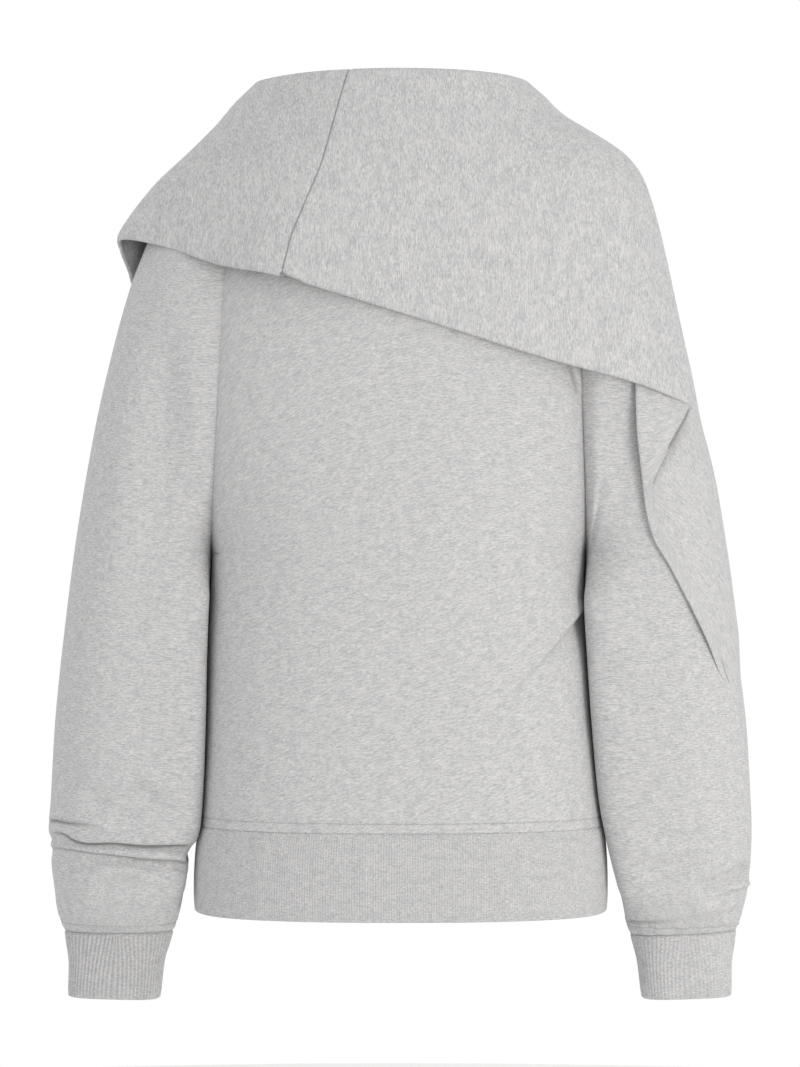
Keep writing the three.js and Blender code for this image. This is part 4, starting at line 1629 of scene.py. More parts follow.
LEFT_SLEEVE_CREASES = (
    # The cloth pushed up over the cuff: two long tucks with a roll between them, with painted shadow lines
    # under the tucks
    Crease(
        (
            (-296, -571), (-284, -573), (-273, -578.5), (-260, -581),
            (-241, -581), (-213, -583.5), (-176, -583),
        ),
        depth=5, width=9, fold=Fold.TUCK, fade_in=0.2, fade_out=0.02, dark=0.95,
    ),
    Crease(
        (
            (-296, -583), (-283, -586), (-269, -588.5), (-255, -590.5),
            (-233, -593), (-213, -595.6), (-176, -597),
        ),
        depth=4, width=8, fold=Fold.TUCK, fade_in=0.2, fade_out=0.02, dark=0.6,
    ),
    Crease(
        ((-299, -561), (-290, -561.5), (-279, -563.5), (-268, -564.5), (-256, -565.5), (-246, -569)),
        depth=3.4, width=5, fold=Fold.TUCK, fade_in=0.02, fade_out=0.65, dark=0.8,
    ),
    # The roll's crown between the tucks, and the hollow at its inner end
    Crease(
        ((-290, -578), (-268, -583.5), (-240, -587), (-206, -589.5), (-182, -590)),
        depth=-2.2, width=4.5, fade_in=0.2,
    ),
    Crease(((-190, -600), (-183, -604), (-180, -610)), 2.4, 3, fade_in=0.1, fade_out=0.6),
    Crease(((-273, -549), (-255, -551), (-238, -557), (-215, -557)), 6.0, 8),
    Crease(((-276, -541), (-252, -543), (-226, -542), (-197, -551), (-176, -562)), 5.0, 8),
    Crease(((-262, -628), (-244, -616), (-232, -614), (-212, -613)), 4.6, 6.5),
    Crease(((-294, -603), (-269, -601.5), (-248, -603)), 3.4, 5),
    Crease(((-249, -618), (-232, -609), (-214, -603)), -2.0, 5),
    Crease(((-196, -606), (-188, -618), (-190, -632)), 1.2, 6),
    Crease(((-292, -520), (-262, -524), (-232, -519)), 2.0, 12),
    Crease(((-176, -480), (-200, -492), (-232, -492)), 1.8, 12),
    Crease(((-196, -110), (-199, -180), (-200, -250), (-206, -330), (-216, -400)), 5.0, 17),
    Crease(((-172, -150), (-170, -220), (-172, -290)), -1.2, 12),
    Crease(((-238, -180), (-232, -250), (-236, -320)), -1.2, 22),
    # The same pushed-up cloth on the front, with painted shadow lines under its tucks
    Crease(
        ((-176, -583), (-205, -586), (-232, -582), (-262, -578), (-292, -573)),
        depth=-6, width=8, fold=Fold.TUCK, face=Face.FRONT, fade_in=0.05, fade_out=0.3,
    ),
    Crease(
        ((-176, -598), (-210, -597), (-244, -590), (-272, -588), (-296, -583)),
        depth=-4.5, width=7, fold=Fold.TUCK, face=Face.FRONT, fade_in=0.05, fade_out=0.2,
    ),
    Crease(((-294, -556), (-270, -562), (-248, -560)), 3, 6, face=Face.FRONT),
    Crease(((-190, -560), (-218, -552), (-240, -546)), 2, 8, face=Face.FRONT),
    Crease(((-200, -622), (-226, -614), (-256, -620)), 2, 6, face=Face.FRONT),
    Crease(((-182, -470), (-214, -500), (-254, -508)), 1.2, 12, face=Face.FRONT),
)
RIGHT_SLEEVE_CREASES = (
    # Tucks above the cuff, with painted shadow lines under them
    Crease(
        ((252, -629), (268, -625), (279, -621), (296, -617)),
        depth=4.2, width=5, fold=Fold.TUCK, fade_in=0.7, fade_out=0.02, dark=0.2,
    ),
    Crease(((240, -619), (259, -617), (278, -611), (294, -602)), 6.0, 6, fade_out=0.05),
    Crease(((194, -608), (222, -604), (252, -596), (284, -585)), 4.6, 9),
    Crease(
        ((186, -645), (204, -647), (222, -646.5), (250, -643)),
        depth=2.4, width=4, fold=Fold.TUCK, fade_in=0.02, fade_out=0.7,
    ),
    Crease(((243, -641), (264, -637), (286, -629)), -3.6, 4.5, fade_out=0.1),
    Crease(((200, -578), (232, -574), (268, -566)), 3.0, 11),
    Crease(((168, -430), (184, -452), (214, -470)), 2.0, 12, fade_in=0.05),
    Crease(((181, -190), (181, -230), (180, -275)), 1.6, 9),
    Crease(((172, -200), (168, -250), (170, -300)), -1.2, 9),
    Crease(((258, -470), (262, -520), (250, -560)), 0.9, 16),
    Crease(((188, -600), (222, -606), (262, -598), (292, -590)), 2.6, 7, face=Face.FRONT),
    Crease(((200, -626), (236, -630), (274, -618)), 2.4, 6, face=Face.FRONT),
    Crease(((190, -560), (226, -566), (262, -556)), 1.6, 9, face=Face.FRONT),
    Crease(((166, -420), (196, -456), (232, -476)), 1.4, 12, face=Face.FRONT),
)


@dataclass
class RibbedTube:
    """A band of rib knit: a plain closed tube whose outside is raised into ribs."""

    name: str
    ribs: int
    rib_height: float
    points_per_rib: int
    cut: tuple[float, float, float]
    groove_shade: float = 0.12
    fold_drop: float = 0.9
    rise: float = 3.0
    fold_share: float = 0.55

    def build(self, outer: Array, inner: Array, turned: bool, finishes: Finishes) -> None:
        """Builds the band.

        Args:
            outer: Rows of points round the outside, from the seam down.
            inner: The inside's first and last rows.
            turned: Whether the outside is on the other side of the grid.
            finishes: The garment's materials.
        """
        rows, columns = outer.shape[:2]
        hem_edge = (outer[-1] + inner[-1]) / 2 - np.array([0.0, 0.0, self.fold_drop])
        loop = np.concatenate([outer, hem_edge[None], inner[::-1], outer[:1]])
        count = loop.shape[0] - 1
        ids = np.arange(count * columns).reshape(count, columns)
        ids = np.concatenate([ids, ids[:1]])
        ids = np.concatenate([ids, ids[:, :1]], axis=1)
        places = flat_places(np.concatenate([loop, loop[:, :1]], axis=1), columns // 2)
        faces, corners = corner_faces(ids), corner_places(places)
        if turned:
            faces, corners = faces[:, ::-1], corners[:, ::-1]
        phase = np.broadcast_to(np.arange(columns) / self.points_per_rib, (count, columns))
        down = lengths(outer, 0)
        raised = np.zeros((count, columns))
        from_fold = smooth_step(0.0, self.rise, down[-1:] - down)
        crown = self.fold_share + (1 - self.fold_share) * from_fold
        raised[:rows] = smooth_step(0.0, self.rise, down) * crown
        # Painted shade in the grooves between the ribs
        seam = np.zeros((count, columns))
        grooves = 0.5 - 0.5 * np.sin(2 * math.pi * phase[:rows])
        seam[:rows] = self.groove_shade * grooves * raised[:rows]
        attributes = {
            RIB_PHASE: phase.reshape(-1),
            RIB_RAISE: raised.reshape(-1),
            PAINTED_SHADE_MASK: seam.reshape(-1),
        }
        points = loop[:-1].reshape(-1, 3)
        piece = new_piece(f"{self.name}_knit", points, faces, corners, attributes)
        rib_nodes(self.rib_height * MM).apply(piece, finishes.rib)
        declare(piece, finishes.rib, (self.name,))


@dataclass
class HemBand:
    """The wide ribbed band round the hem."""

    ribs: int = 440
    rib_height: float = 0.55
    points_per_rib: int = 6
    rows: int = 14
    tucked_at: tuple[float, ...] = (0.0, 0.5, 1.3, 2.5)
    plain_from: float = 5.7
    wave: float = 0.7
    waves: int = 5
    unevenness: float = 1.2
    wave_starts: float = 580.0
    wave_grows: float = 60.0
    half_depth: float = 120.0

    def build(self, finishes: Finishes) -> None:
        """Builds the band.

        Args:
            finishes: The garment's materials.
        """
        columns = self.ribs * self.points_per_rib
        fine = np.linspace(0, 2 * math.pi, 4 * columns + 1)
        near_seam = HEM_SEAM_Z - np.array([*self.tucked_at, self.plain_from])
        table_z = HEM_BAND.column("z")
        even = np.linspace(table_z[1], table_z[-1], self.rows - len(near_seam))
        z = np.concatenate([near_seam, even])
        middle = self.ring(table_z[2:3], fine, np.zeros(1))[0]
        arc = lengths(middle[None], 1)[0]
        angle = np.interp(np.linspace(0, arc[-1], columns, endpoint=False), arc, fine)
        tucked = np.interp(HEM_SEAM_Z - z, self.tucked_at, RIB_TUCKED)
        outer = self.ring(z, angle, tucked)
        inner = self.ring(z[[0, -1]], angle, tucked[[0, -1]] + RIB_THICKNESS)
        band = RibbedTube("hem_band", self.ribs, self.rib_height, self.points_per_rib, HEM_CUT)
        band.build(outer, inner, False, finishes)

    def ring(self, z: Array, angle: Array, inwards: Array) -> Array:
        """Level rings round the band.

        Args:
            z: Heights.
            angle: Angles, from the right-hand side round by the front.
            inwards: How far inside the band's surface at each height.

        Returns:
            A row of points for each height.
        """
        along, across = oval(angle[None, :], BODY_SQUARE)
        size = {name: (HEM_BAND.along(name, z, "z") - inwards)[:, None] for name in HEM_BAND.names[1:]}
        wave = self.wave * np.sin(self.waves * angle + self.unevenness * np.sin(2 * angle))[None, :]
        grown = np.clip((-z[:, None] - self.wave_starts) / self.wave_grows, 0, 1)
        swell = 1 + wave * grown / self.half_depth
        x = along * np.where(along < 0, size["left"], size["right"]) * swell
        y = across * np.where(across < 0, size["back"], size["front"]) * swell
        return np.stack([x, y, np.broadcast_to(z[:, None], x.shape)], axis=2)


@dataclass
class Cuff:
    """A ribbed cuff."""

    side: Side
    rings: Table
    ribs: int = 70
    rib_height: float = 0.8
    points_per_rib: int = 9
    rows: int = 18
    square: float = 2.1
    squarer_below: float = 1.0
    groove_shade: float = 0.3
    tucked_at: tuple[float, ...] = (0, 0.04, 0.1, 0.2)
    plain_from: float = 0.34
    even_from: float = 0.55

    def build(self, finishes: Finishes) -> None:
        """Builds the cuff.

        Args:
            finishes: The garment's materials.
        """
        columns = self.ribs * self.points_per_rib
        fine = np.linspace(0, 2 * math.pi, 4 * columns + 1)
        last = len(self.rings.rows) - 1
        near_seam = [*self.tucked_at, self.plain_from]
        at = np.concatenate([near_seam, np.linspace(self.even_from, last, self.rows - len(near_seam))])
        arc = lengths(self.ring(np.array([last / 2]), fine, np.zeros(1)), 1)[0]
        angle = np.interp(np.linspace(0, arc[-1], columns, endpoint=False), arc, fine)
        tucked = np.interp(at, self.tucked_at, RIB_TUCKED)
        outer = self.ring(at, angle, tucked)
        inner = self.ring(at[[0, -1]], angle, tucked[[0, -1]] + RIB_THICKNESS)
        name = f"cuff_{self.side.name.lower()}"
        size = (self.ribs, self.rib_height, self.points_per_rib)
        cuff = RibbedTube(name, *size, CUFF_CUT, self.groove_shade)
        cuff.build(outer, inner, self.side is Side.RIGHT, finishes)

    def ring(self, at: Array, angle: Array, inwards: Array) -> Array:
        """Rings round the cuff.

        Args:
            at: Ring numbers.
            angle: Angles, from the outward side round by the front.
            inwards: How far inside the cuff's surface at each ring.

        Returns:
            A row of points for each ring.
        """
        value = {name: self.rings.along(name, at)[:, None] for name in RING.split()}
        square = self.square + self.squarer_below * smooth_step(0, len(self.rings.rows) - 1, at)[:, None]
        along, across = oval(angle[None, :], square)
        share = (1 + along) / 2
        inwards = inwards[:, None]
        x = value["inner_x"] + (value["outer_x"] - value["inner_x"]) * share - along * inwards
        z = value["inner_z"] + (value["outer_z"] - value["inner_z"]) * share
        y = value["middle_y"] + across * (np.where(across < 0, value["back"], value["front"]) - inwards)
        return np.stack([self.side.value * x, y, z], axis=2)


@dataclass
class Collar:
    """The doubled fold-over collar, and the drape that goes on from it over the right sleeve."""

    neck_half_width: float = 100.0
    neck_back: tuple[float, float, float] = (84.0, -15.0, 0.3)
    neck_front: tuple[float, float, float] = (77.0, -50.0, 2.5)
    neck_side_z: float = 6.0
    roll_radius: float = 6.5
    leaving_roll: float = 0.8
    into_turn: float = 0.7
    out_of_turn: float = 0.55
    stand_rows: int = 9
    roll_rows: int = 12
    upper_rows: int = 24
    lower_rows: int = 36
    column_step: float = 3.2
    apex: float = 5.0
    front_joint: float = 7.45
    drape_end_z: float = -451.0
    drape_square: float = 2.1
    flap_tuck: Point = (21.0, 6.0)
    rear_lift: float = 0.25
    pleat_clear: float = 2.6
    pleat_angle: float = 0.09
    pleat_radius: float = 80.0
    pleat_sink: float = 1.2
    pleat_end_z: float = -300.0
    end_sink: float = 4.2
    end_fade_z: float = -400.0
    outline_reach: float = 190.0
    flap_grain: float = 14.0
    drape_grain: float = -48.0
    flap_columns: int = 30
    flap_crowding: float = 1.6
    drape_rows: int = 84
    lower_crowding: float = 1.25
    pleat_under: Point = (-1.0, 6.0)
    # Painted shadow: a line under the flap's folded edge, and softer shade beside it
    flap_edge_shadow: float = 0.15
    pleat_shadow_line: float = 0.75
    pleat_shadow_line_width: float = 1.3
    pleat_shade: float = 0.1
    pleat_shade_width: float = 7.0
    ease_share: float = 0.14
    ease_rows: float = 9.0
    ease_rounds: int = 70
    ease_step: float = 0.9
    grain_station: float = 6.0
    outline_from: Point = (0.25, 0.85)
    far: float = 1e3

    CREASES = (
        # The joining seam's hook, with a painted shadow line under it, and small waves of the lower edge
        # beside it
        Crease(((-100, -101), (-92, -105.5), (-80, -109.5)), 2.0, 3, Fold.TUCK, fade_in=0.02, dark=0.9),
        Crease(((-196, -72), (-190, -84), (-186, -98)), 1.6, 7, fade_in=0.5, fade_out=0.02),
        Crease(((-160, -80), (-152, -92), (-148, -108)), 1.8, 8, fade_in=0.5, fade_out=0.02),
        Crease(((-126, -86), (-120, -98), (-118, -114)), -1.2, 7, fade_in=0.5, fade_out=0.02),
        Crease(((-228, -52), (-206, -40), (-176, -30)), 0.9, 12),
        Crease(((20, -60), (80, -110), (150, -160)), 0.9, 26),
        Crease(((120, 0), (164, -60), (196, -130)), -1.0, 24),
        Crease(((-90, 20), (-130, -20), (-160, -60)), -0.9, 20),
        # The flap's fold at its top, with a painted shadow line under it, and the cloth beside it
        Crease(
            ((222, -254), (227.6, -244.4), (235.9, -229.7), (242.4, -215)),
            depth=2.6, width=5, fold=Fold.TUCK, fade_out=0.02, dark=0.75,
        ),
        Crease(((241, -222), (229, -246), (219, -264), (213, -284)), 2.0, 5, fade_in=0.2, fade_out=0.5),
        Crease(((226, -330), (240, -366), (256, -404)), 1.0, 9),
        Crease(((252, -240), (258, -300), (268, -360)), -0.9, 13),
        # Hidden front
        Crease(((-180, -20), (-150, -70), (-120, -120)), 2.0, 12, face=Face.FRONT),
        Crease(((-60, -10), (-50, -80), (-60, -140)), 1.8, 14, face=Face.FRONT),
        Crease(((80, -10), (96, -90), (110, -170)), 2.0, 14, face=Face.FRONT),
        Crease(((180, -40), (206, -110), (216, -180)), 1.6, 12, face=Face.FRONT),
    )

    def columns(self) -> Array:
        """The columns' places, close together beside the joining seam.

        Returns:
            A station number for each column.
        """
        fine = np.linspace(0, len(COLLAR.rows), 4001)
        edge = np.stack([COLLAR.around(f"edge_{axis}", fine) for axis in "xyz"], axis=1)
        arc = lengths(edge[None], 1)[0]
        steps = round(arc[-1] / self.column_step)
        even = np.linspace(0, arc[-1], steps, endpoint=False)[2:-1]
        beside = np.array([0, 0.5, 1.0, 1.7, 2.6, 4.0])
        wanted = np.concatenate([beside, even, arc[-1] - beside[:0:-1]])
        return np.interp(wanted, arc, fine)

    def fall(self, at: Array) -> Array:
        """The collar's points at each station number, from the neckline up, over the roll and down.

        Args:
            at: Station numbers of the columns.

        Returns:
            Rows of points.
        """
        roll, turn, edge = (
            np.stack([COLLAR.around(f"{part}_{axis}", at) for axis in "xyz"], axis=1)
            for part in ("roll", "turn", "edge")
        )
        around = np.arctan2(roll[:, 1] / self.neck_back[0], roll[:, 0] / self.neck_half_width)
        behind = roll[:, 1] < 0
        neck_depth, neck_z, clear = (
            np.where(behind, back, front) for back, front in zip(self.neck_back, self.neck_front)
        )
        dip = np.sin(around) ** 2
        base_z = self.neck_side_z + (neck_z - self.neck_side_z) * dip + clear * dip**0.1
        base = np.stack([self.neck_half_width * np.cos(around), neck_depth * np.sin(around), base_z], axis=1)
        flat = turn[:, :2] - roll[:, :2]
        run = np.linalg.norm(flat, axis=1)
        outward = np.concatenate([flat / run[:, None], np.zeros((len(at), 1))], axis=1)
        slope = np.arctan2(roll[:, 2] - turn[:, 2], run)
        centre = roll - np.array([0, 0, self.roll_radius])
        up = np.array([0.0, 0.0, 1.0])

        def on_roll(angle: Array) -> Array:
            """The roll's points at an angle from its top, outwards."""
            sideways = outward * (self.roll_radius * np.sin(angle))[:, None]
            return centre + sideways + up * (self.roll_radius * np.cos(angle))[:, None]

        quarter = np.full(len(at), -math.pi / 2)
        top = on_roll(quarter)
        rows = [base + (top - base) * t for t in np.linspace(0, 1, self.stand_rows, endpoint=False)]
        rows += [on_roll(quarter + (slope - quarter) * t) for t in np.linspace(0, 1, self.roll_rows)]
        start = rows[-1]
        first, second = turn - start, edge - turn
        long, longer = (np.linalg.norm(part, axis=1, keepdims=True) for part in (first, second))
        leaving = outward * np.cos(slope)[:, None] - up * np.sin(slope)[:, None]
        over = first / long + second / longer
        over = over / np.linalg.norm(over, axis=1, keepdims=True)
        hanging = second / longer - up
        hanging = hanging / np.linalg.norm(hanging, axis=1, keepdims=True)
        leaving = leaving * self.leaving_roll * long
        into_turn = over * self.into_turn * long
        for t in np.linspace(0, 1, self.upper_rows + 1)[1:]:
            rows.append(bend(start, turn, leaving, into_turn, t))
        for t in 1 - (1 - np.linspace(0, 1, self.lower_rows + 1)[1:]) ** self.lower_crowding:
            rows.append(bend(turn, edge, over * self.out_of_turn * longer, hanging * longer, t))
        return np.array(rows)

    def drape_value(self, name: str, z: Array) -> Array:
        """One of the drape's sizes at each height."""
        return DRAPE.along(name, z, "z")

    def drape_point(self, z: Array, angle: Array, lift: Array) -> Array:
        """Points round the drape.

        Args:
            z: Heights.
            angle: Angles, from the outward side round by the front.
            lift: How far each point stands over the drape's own surface.

        Returns:
            The points.
        """
        along, across = oval(angle, self.drape_square)
        middle = self.drape_value("middle_x", z)
        x = middle + (self.drape_value("outer_x", z) - middle + lift) * along
        y = self.drape_value("middle_y", z) + (self.drape_value("depth", z) + lift) * across
        return np.stack([x, y, z], axis=-1)

    def drape_angle(self, name: str, z: Array) -> Array:
        """The angle at which a column of the drape's table is seen on its back.

        Args:
            name: The column.
            z: Heights.

        Returns:
            One angle for each height.
        """
        middle = self.drape_value("middle_x", z)
        share = (self.drape_value(name, z) - middle) / (self.drape_value("outer_x", z) - middle)
        return -np.arccos(np.sign(share) * np.minimum(1, np.abs(share)) ** (self.drape_square / 2))

    def drape(self, spread: Array) -> tuple[Array, Array]:
        """The flap and the drape's rows below the collar.

        The flap is folded back over the rest, which goes on under it as long as it stands clear.

        Args:
            spread: Places of the drape's columns, from 0 under the crease to 1 at the front edge.

        Returns:
            The points, the flap's columns first, and the shade painted along the crease at each.
        """
        top = float(DRAPE.column("z")[1])
        down = np.linspace(0, 1, self.drape_rows)[:, None]
        share = (1 - (1 - np.linspace(0, 1, self.flap_columns)) ** self.flap_crowding)[None, :]
        tuck = self.flap_tuck[0] + (self.flap_tuck[1] - self.flap_tuck[0]) * share
        z = top + tuck + (self.drape_end_z - top - tuck) * down
        rear = self.drape_angle("rear_x", z)
        angle = rear + (self.drape_angle("crease_x", z) - rear) * share
        lift = FLAP.along("lift", z, "z") * (self.rear_lift + (1 - self.rear_lift) * share)
        flap = self.drape_point(z, angle, lift)
        z = np.broadcast_to(top + (self.drape_end_z - top) * down, (self.drape_rows, len(spread)))
        standing = np.clip(FLAP.along("lift", z, "z") / self.pleat_clear, 0, 1)
        crease = self.drape_angle("crease_x", z)
        start = crease - self.pleat_angle * standing
        front = -self.drape_angle("rear_x", z)
        angle = start + (front - start) * spread[None, :]
        past = (angle - crease) * self.pleat_radius
        under = standing * (1 - smooth_step(*self.pleat_under, past)) * self.pleat_sink
        rest = self.drape_point(z, angle, -under)
        dark = np.zeros((self.drape_rows, self.flap_columns + len(spread)))
        # Painted shadow under the flap's folded edge and on the cloth beside the crease
        dark[:, self.flap_columns - 1] = self.flap_edge_shadow * standing[:, 0]
        line = self.pleat_shadow_line * np.exp(-((np.maximum(past, 0) / self.pleat_shadow_line_width) ** 2))
        shade = self.pleat_shade * np.exp(-((past / self.pleat_shade_width) ** 2))
        dark[:, self.flap_columns :] = standing * (line + shade)
        return np.concatenate([flap, rest], axis=1), dark

    def build(self, finishes: Finishes) -> None:
        """Builds the collar and drape as one piece.

        Args:
            finishes: The garment's materials.
        """
        at = self.columns()
        fall = self.fall(at)
        rows, columns = fall.shape[:2]
        joined = np.nonzero((at >= self.apex) & (at <= self.front_joint))[0]
        edge_arc = lengths(fall[-1:, joined], 1)[0]
        spread = edge_arc / edge_arc[-1]
        drape, dark = self.drape(spread)
        flap_end = self.flap_columns
        # Below the collar's edge the joined columns go on as the drape, and the step between is eased.
        whole = np.concatenate([fall[:, joined], drape[1:, flap_end:]])
        from_ends = np.minimum(spread, 1 - spread)
        ease = smooth_step(0.0, self.ease_share, from_ends)
        row_place = np.arange(len(whole)) - rows
        ease_rows = np.exp(-((row_place / self.ease_rows) ** 2))[:, None] * ease[None, :]
        for _ in range(self.ease_rounds):
            inner = (whole[2:] + whole[:-2]) / 2
            whole[1:-1] += (inner - whole[1:-1]) * (self.ease_step * ease_rows[1:-1])[..., None]
        fall[:, joined] = whole[:rows]
        drape[1:, flap_end:] = whole[rows:]
        fall = self.shaped(fall)
        drape = self.shaped(drape)
        sunk = self.end_sink * smooth_step(-self.end_fade_z, -self.drape_end_z, -drape[..., 2])
        ids = np.arange(rows * columns).reshape(rows, columns)
        own = rows * columns + np.arange(drape.shape[0] * drape.shape[1]).reshape(drape.shape[:2])
        drape_ids = own.copy()
        drape_ids[0, flap_end:] = ids[-1, joined]
        below_pleat = drape[:, flap_end, 2] < self.pleat_end_z
        drape_ids[below_pleat, flap_end] = drape_ids[below_pleat, flap_end - 1]
        drape[below_pleat, flap_end] = drape[below_pleat, flap_end - 1]
        closed_ids = np.concatenate([ids, ids[:, :1]], axis=1)
        closed_fall = np.concatenate([fall, fall[:, :1]], axis=1)
        anchor = int(np.argmin(np.abs(at - self.grain_station)))
        fall_places = flat_places(closed_fall, anchor)
        shown = drape.copy()
        shown[0, flap_end:] = fall[-1, joined]
        drape_places = flat_places(shown, flap_end + int(np.argmin(np.abs(joined - anchor))))
        drape_places[..., 1] += fall_places[-1, anchor, 1]
        flap_ids, rest_ids = drape_ids[:, :flap_end], drape_ids[:, flap_end:]
        parts = [corner_faces(closed_ids), corner_faces(flap_ids), corner_faces(rest_ids)]
        faces = np.concatenate(parts)[:, ::-1]
        flap_places = turned_places(drape_places[:, :flap_end], self.flap_grain)
        parts = [corner_places(fall_places), corner_places(flap_places)]
        parts.append(corner_places(turned_places(drape_places[:, flap_end:], self.drape_grain)))
        places = np.concatenate(parts)[:, ::-1]
        is_drape = np.arange(len(faces)) >= (rows - 1) * columns
        points = np.concatenate([fall.reshape(-1, 3), drape.reshape(-1, 3)])
        # The drape's painted crease shade becomes part of the painted shade
        seam = np.concatenate([np.zeros(rows * columns), dark.reshape(-1)])
        doubled = np.full((rows, columns), DOUBLED)
        single = np.full(drape.shape[:2], CLOTH)
        thickness = np.concatenate([doubled.reshape(-1), single.reshape(-1)])
        used = np.unique(faces)
        renumber = np.full(len(points), -1)
        renumber[used] = np.arange(len(used))
        cloth = Cloth(points[used], renumber[faces], places, thickness[used], seam[used])
        sunk_all = np.concatenate([np.zeros(rows * columns), sunk.reshape(-1)])[used]
        cloth.move_out(-sunk_all)
        cloth.crease(self.CREASES, beyond=0.0)
        self.sew_joint(cloth, at, rows, columns, len(used))
        piece = cloth.piece("collar_and_drape_cloth")
        declare(piece, finishes.collar, ("collar", "drape"))
        piece.data.materials.append(finishes.drape)
        second = np.zeros(len(piece.data.polygons), dtype=np.int32)
        second[: len(faces)] = is_drape
        second[len(faces) : 2 * len(faces)] = is_drape
        piece.data.polygons.foreach_set("material_index", second)

    def sew_joint(self, cloth: Cloth, at: Array, rows: int, columns: int, count: int) -> None:
        """Draws in the joining seam at the collar's back, with shade painted in its groove.

        Args:
            cloth: The collar's cloth.
            at: Station numbers of its columns.
            rows: The fall's rows.
            columns: The fall's columns.
            count: All of the cloth's points.
        """
        fall = cloth.points[: rows * columns].reshape(rows, columns, 3)
        seam = fall[:, 0]
        distance = np.full(count, self.far)
        beside = np.linalg.norm(fall - seam[:, None], axis=2)
        beside[:, (at > 1) & (at < len(COLLAR.rows) - 1)] = self.far
        distance[: rows * columns] = beside.reshape(-1)
        # Painted shade in the joining seam's groove
        cloth.dip(distance, depth=0.7, width=1.2, dark=0.8)

    def shaped(self, grid: Array) -> Array:
        """Moves the collar's sides a little, to its outline as seen.

        Args:
            grid: Rows of points.

        Returns:
            The moved rows.
        """
        nearer = CAMERA_DISTANCE / (CAMERA_DISTANCE + grid[..., 1])
        seen_z = CAMERA_Z + (grid[..., 2] - CAMERA_Z) * nearer
        moved = grid.copy()
        for side in Side:
            gain = COLLAR_OUTLINE.along(side.name.lower(), seen_z, "z")
            outwards = side.value * grid[..., 0] / self.outline_reach
            moved[..., 0] += side.value * gain * smooth_step(*self.outline_from, outwards)
        return moved


def turned_places(places: Array, degrees: float) -> Array:
    """Turns flat places, and with them the cloth's grain.

    Args:
        places: The flat places.
        degrees: The angle.

    Returns:
        The turned places.
    """
    c, s = math.cos(math.radians(degrees)), math.sin(math.radians(degrees))
    across = places[..., 0] * c - places[..., 1] * s
    along = places[..., 0] * s + places[..., 1] * c
    return np.stack([across, along], axis=-1)


def bend(start: Array, end: Array, leaving: Array, arriving: Array, t: float) -> Array:
    """Points on curves between two sets of points.

    Args:
        start: Where the curves start.
        end: Where they end.
        leaving: Their directions at the start.
        arriving: Their directions at the end.
        t: How far along, from 0 to 1.

    Returns:
        The points.
    """
    u = 1 - t
    ends = start * (u * u * (1 + 2 * t)) + end * (t * t * (3 - 2 * t))
    return ends + leaving * (u * u * t) - arriving * (u * t * t)


@dataclass(frozen=True)
class Light:
    """A square soft light that faces the garment: its place and side in metres, its power in watts."""

    name: str
    place: tuple[float, float, float]
    side: float
    power: float


LIGHTS = (
    Light("key_light", (1.5, -1.7, -0.58), 0.85, 13.5),
    Light("fill_light", (-2.2, -2.4, 0.6), 2.2, 5.6),
    Light("top_light", (0.2, 0.3, 2.4), 1.8, 3.0),
    Light("rear_light", (0.4, 3.0, 0.4), 2.4, 15.0),
)


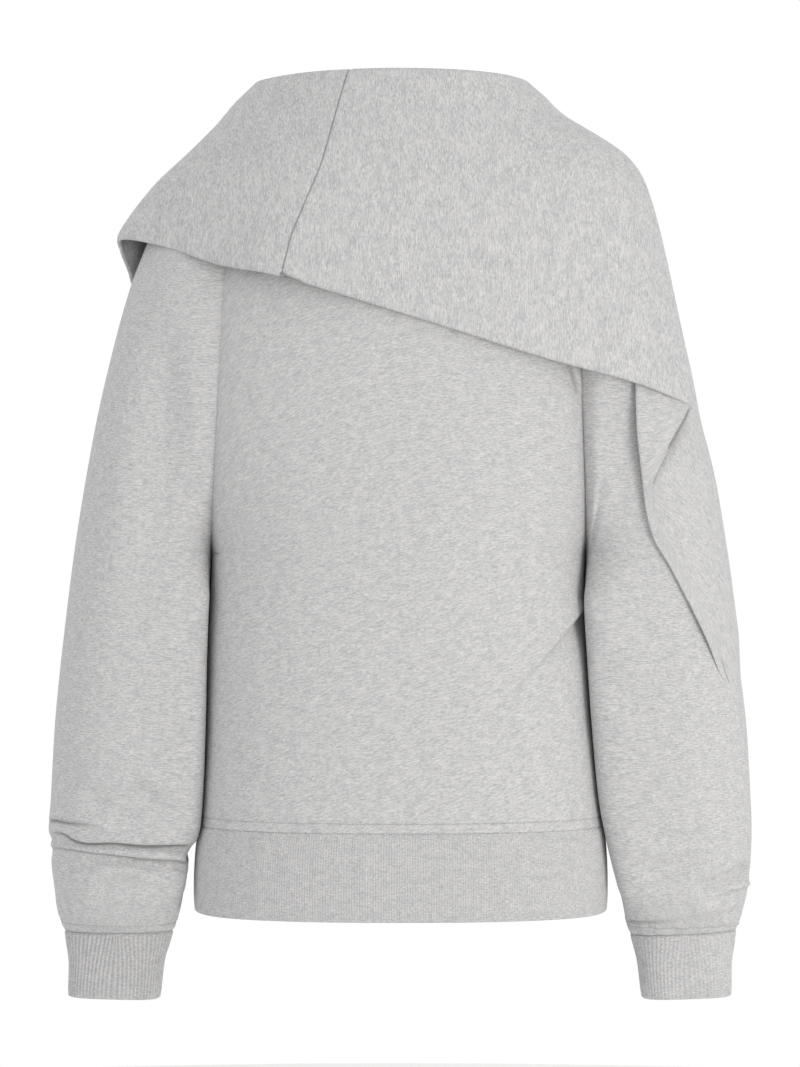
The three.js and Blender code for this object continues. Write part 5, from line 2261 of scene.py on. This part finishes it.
@dataclass
class Studio:
    """The camera, the soft lights and the pale floor."""

    aim: tuple[float, float, float] = (0.0, 0.0, -0.32)
    light_colour: tuple[float, float, float] = (1.0, 0.985, 0.955)
    world_light: float = 0.77
    floor_z: float = -1.05
    floor_radius: float = 2.1
    floor_corners: int = 96

    def camera(self) -> None:
        """Places the camera straight behind the wearer."""
        data = bpy.data.cameras.new("camera")
        data.sensor_fit = "VERTICAL"
        data.sensor_height = FILM
        data.lens = FILM * CAMERA_DISTANCE / VIEW_HEIGHT
        camera = bpy.data.objects.new("camera", data)
        camera.location = (0.0, -CAMERA_DISTANCE * MM, CAMERA_Z * MM)
        camera.rotation_euler = (math.pi / 2, 0.0, 0.0)
        bpy.context.scene.collection.objects.link(camera)
        bpy.context.scene.camera = camera

    def add(self, light: Light) -> None:
        """Adds a light.

        Args:
            light: What it is and where it stands.
        """
        data = bpy.data.lights.new(light.name, "AREA")
        data.size = light.side
        data.energy = light.power
        data.color = self.light_colour
        lamp = bpy.data.objects.new(light.name, data)
        lamp.location = light.place
        aim = Vector(self.aim) - Vector(light.place)
        lamp.rotation_euler = aim.to_track_quat("-Z", "Y").to_euler()
        bpy.context.scene.collection.objects.link(lamp)

    def backdrop(self) -> None:
        """Makes the white surroundings, dimmer as a light than as a background."""
        world = bpy.data.worlds.new("white_studio")
        world.use_nodes = True
        bpy.context.scene.world = world
        tree = Tree(world.node_tree)
        seen = tree.node("ShaderNodeLightPath", {}, {}, "Is Camera Ray")
        strength = seen * (1.0 - self.world_light) + self.world_light
        background = world.node_tree.nodes["Background"]
        background.inputs["Color"].default_value = (1.0, 1.0, 1.0, 1.0)
        world.node_tree.links.new(strength.socket, background.inputs["Strength"])

    def floor(self) -> None:
        """Lays a round pale floor under the garment."""
        mesh = bpy.data.meshes.new("floor")
        angles = np.linspace(0, 2 * math.pi, self.floor_corners, endpoint=False)
        radius = self.floor_radius
        ring = [(radius * math.cos(a), radius * math.sin(a), self.floor_z) for a in angles]
        mesh.from_pydata(ring, [], [list(range(len(ring)))])
        floor = bpy.data.objects.new("floor", mesh)
        bpy.context.scene.collection.objects.link(floor)
        material, shader, tree = new_material("pale_floor")
        places = tree.node("ShaderNodeTexCoord", {}, {}, "Object")
        grain = tree.node("ShaderNodeTexNoise", {}, {"Vector": places, "Scale": 6.0, "Detail": 2.0})
        colour = tree.mix(grain, grey(0.84), grey(0.88))
        tree.tree.links.new(colour.socket, shader.inputs["Base Color"])
        shader.inputs["Roughness"].default_value = 0.9
        mesh.materials.append(material)

    def build(self) -> None:
        """Sets up the whole studio."""
        self.camera()
        self.backdrop()
        self.floor()
        for light in LIGHTS:
            self.add(light)
        bpy.context.scene.view_settings.view_transform = "Standard"


def main() -> None:
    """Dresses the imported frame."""
    logging.basicConfig(level=logging.INFO, format="%(name)s: %(message)s")
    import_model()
    Studio().build()
    finishes = Finishes.make()
    Body().build(finishes)
    Sleeve(Side.LEFT, LEFT_SLEEVE, LEFT_SLEEVE_CREASES, fine_rows=(11.2, 15.6)).build(finishes)
    Sleeve(Side.RIGHT, RIGHT_SLEEVE, RIGHT_SLEEVE_CREASES, fine_rows=(12.6, 17.0)).build(finishes)
    Cuff(Side.LEFT, LEFT_CUFF).build(finishes)
    Cuff(Side.RIGHT, RIGHT_CUFF, rib_height=0.5, groove_shade=0.1).build(finishes)
    HemBand().build(finishes)
    Collar().build(finishes)


if __name__ == "__main__":
    main()
